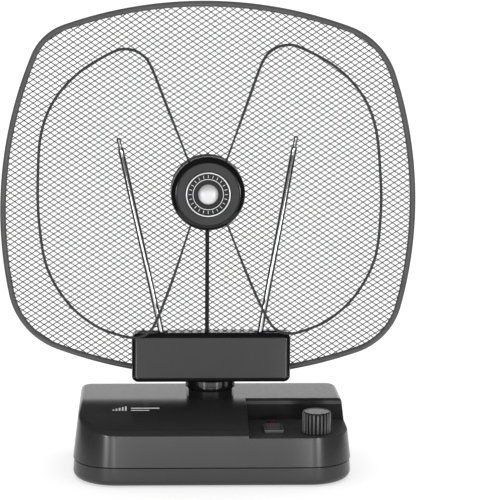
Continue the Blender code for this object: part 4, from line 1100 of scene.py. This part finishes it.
def area_light(name, location, target, size, power):
    light = bpy.data.lights.new(name, 'AREA')
    light.shape = 'RECTANGLE'
    light.size, light.size_y = size
    light.energy = power
    obj = as_object(name, light)
    obj.location = location
    obj.rotation_euler = (Vector(target) - Vector(location)).to_track_quat('-Z', 'Y').to_euler()
    obj.visible_camera = False


def build_stage():
    """Glowing pale floor, soft lights, and dark cards that only reflections see."""
    pale = finish_of((0.55, 0.55, 0.55), 0.85, tone=0.01, patch=2.0, grain=900.0)
    pale.name = "floor"
    glow = pale.node_tree.nodes["Principled BSDF"]
    glow.inputs["Emission Color"].default_value = (1.0, 1.0, 1.0, 1.0)
    glow.inputs["Emission Strength"].default_value = 0.57
    half = 40.0
    corners = ((-half, -half, 0.0), (half, -half, 0.0), (half, half, 0.0), (-half, half, 0.0))
    stage_sheet("floor", corners, pale)

    middle = (0.0, 0.0, 0.10)
    near, far, high = -0.33, 0.20, 0.55
    for side in SIDES:
        area_light("strip", (side * 0.84, -1.50, 0.10), middle, (0.18, 0.19), 4.0)
        area_light("low_strip", (side * 0.080, -0.135, 0.032), (0.0, 0.0, 0.055), (0.014, 0.056), 0.010)
        x = side * 0.26
        card = stage_sheet("flag", ((x, near, 0.0), (x, far, 0.0), (x, far, high), (x, near, high)),
                           MATS["rubber"])
        card.visible_camera = card.visible_diffuse = card.visible_shadow = False
    area_light("front_fill", (0.0, -2.6, 0.14), middle, (0.8, 0.26), 4.0)


def build_world():
    """Even light for everything but reflections, which see bright and dark bands by height instead."""
    world = bpy.data.worlds.new("studio")
    bpy.context.scene.world = world
    world.use_nodes = True
    tree = world.node_tree
    tree.nodes.clear()
    height = node(tree, "SeparateXYZ", Vector=node(tree, "TexCoord").outputs["Generated"])
    ramp = node(tree, "ValToRGB", Fac=height.outputs["Z"])
    stops = ((0.0, 1.0), (0.26, 1.0), (0.31, 0.35), (0.38, 0.02), (0.55, 0.02), (0.75, 0.25), (1.0, 0.40))
    while len(ramp.color_ramp.elements) < len(stops):
        ramp.color_ramp.elements.new(0.5)
    for element, (position, level) in zip(ramp.color_ramp.elements, stops):
        element.position = position
        element.color = (level, level, level, 1.0)
    behind = spread(tree, height.outputs["Y"], 0.30, 1.5, 0.20, 0.80)
    mirrored = node(tree, "Background", Color=ramp.outputs["Color"], Strength=behind)
    even = node(tree, "Background", Color=(0.97, 0.97, 0.97, 1.0))
    glossy = node(tree, "LightPath").outputs["Is Glossy Ray"]
    mix = node(tree, "MixShader", {0: glossy, 1: even.outputs[0], 2: mirrored.outputs[0]})
    node(tree, "OutputWorld", Surface=mix.outputs[0])


def build_camera():
    bpy.context.scene.view_settings.view_transform = 'Standard'
    data = bpy.data.cameras.new("camera")
    data.lens = CAMERA_LENS
    data.sensor_width = 36.0
    data.shift_x = CAMERA_SHIFT
    data.clip_start = 0.01
    data.clip_end = 200.0
    camera = as_object("camera", data)
    camera.location = CAMERA_AT
    camera.rotation_euler = (radians(90) - CAMERA_PITCH, 0.0, -CAMERA_YAW)
    bpy.context.scene.camera = camera


build_stage()
build_world()
build_camera()
repaint()
build_base()
build_fittings()
printed_mark()
build_controls()
build_neck()
build_head()
piece("rim_tube", swept(reflector_outline(RIM_RADIUS, 4), RIM_RADIUS, 20, closed=True), "rim", "head",
      ["reflector_rim"])
expanded_metal()
build_hub()
build_wires()
for rod_sign, rod_side in SIDES.items():
    build_rod(rod_sign, rod_side)
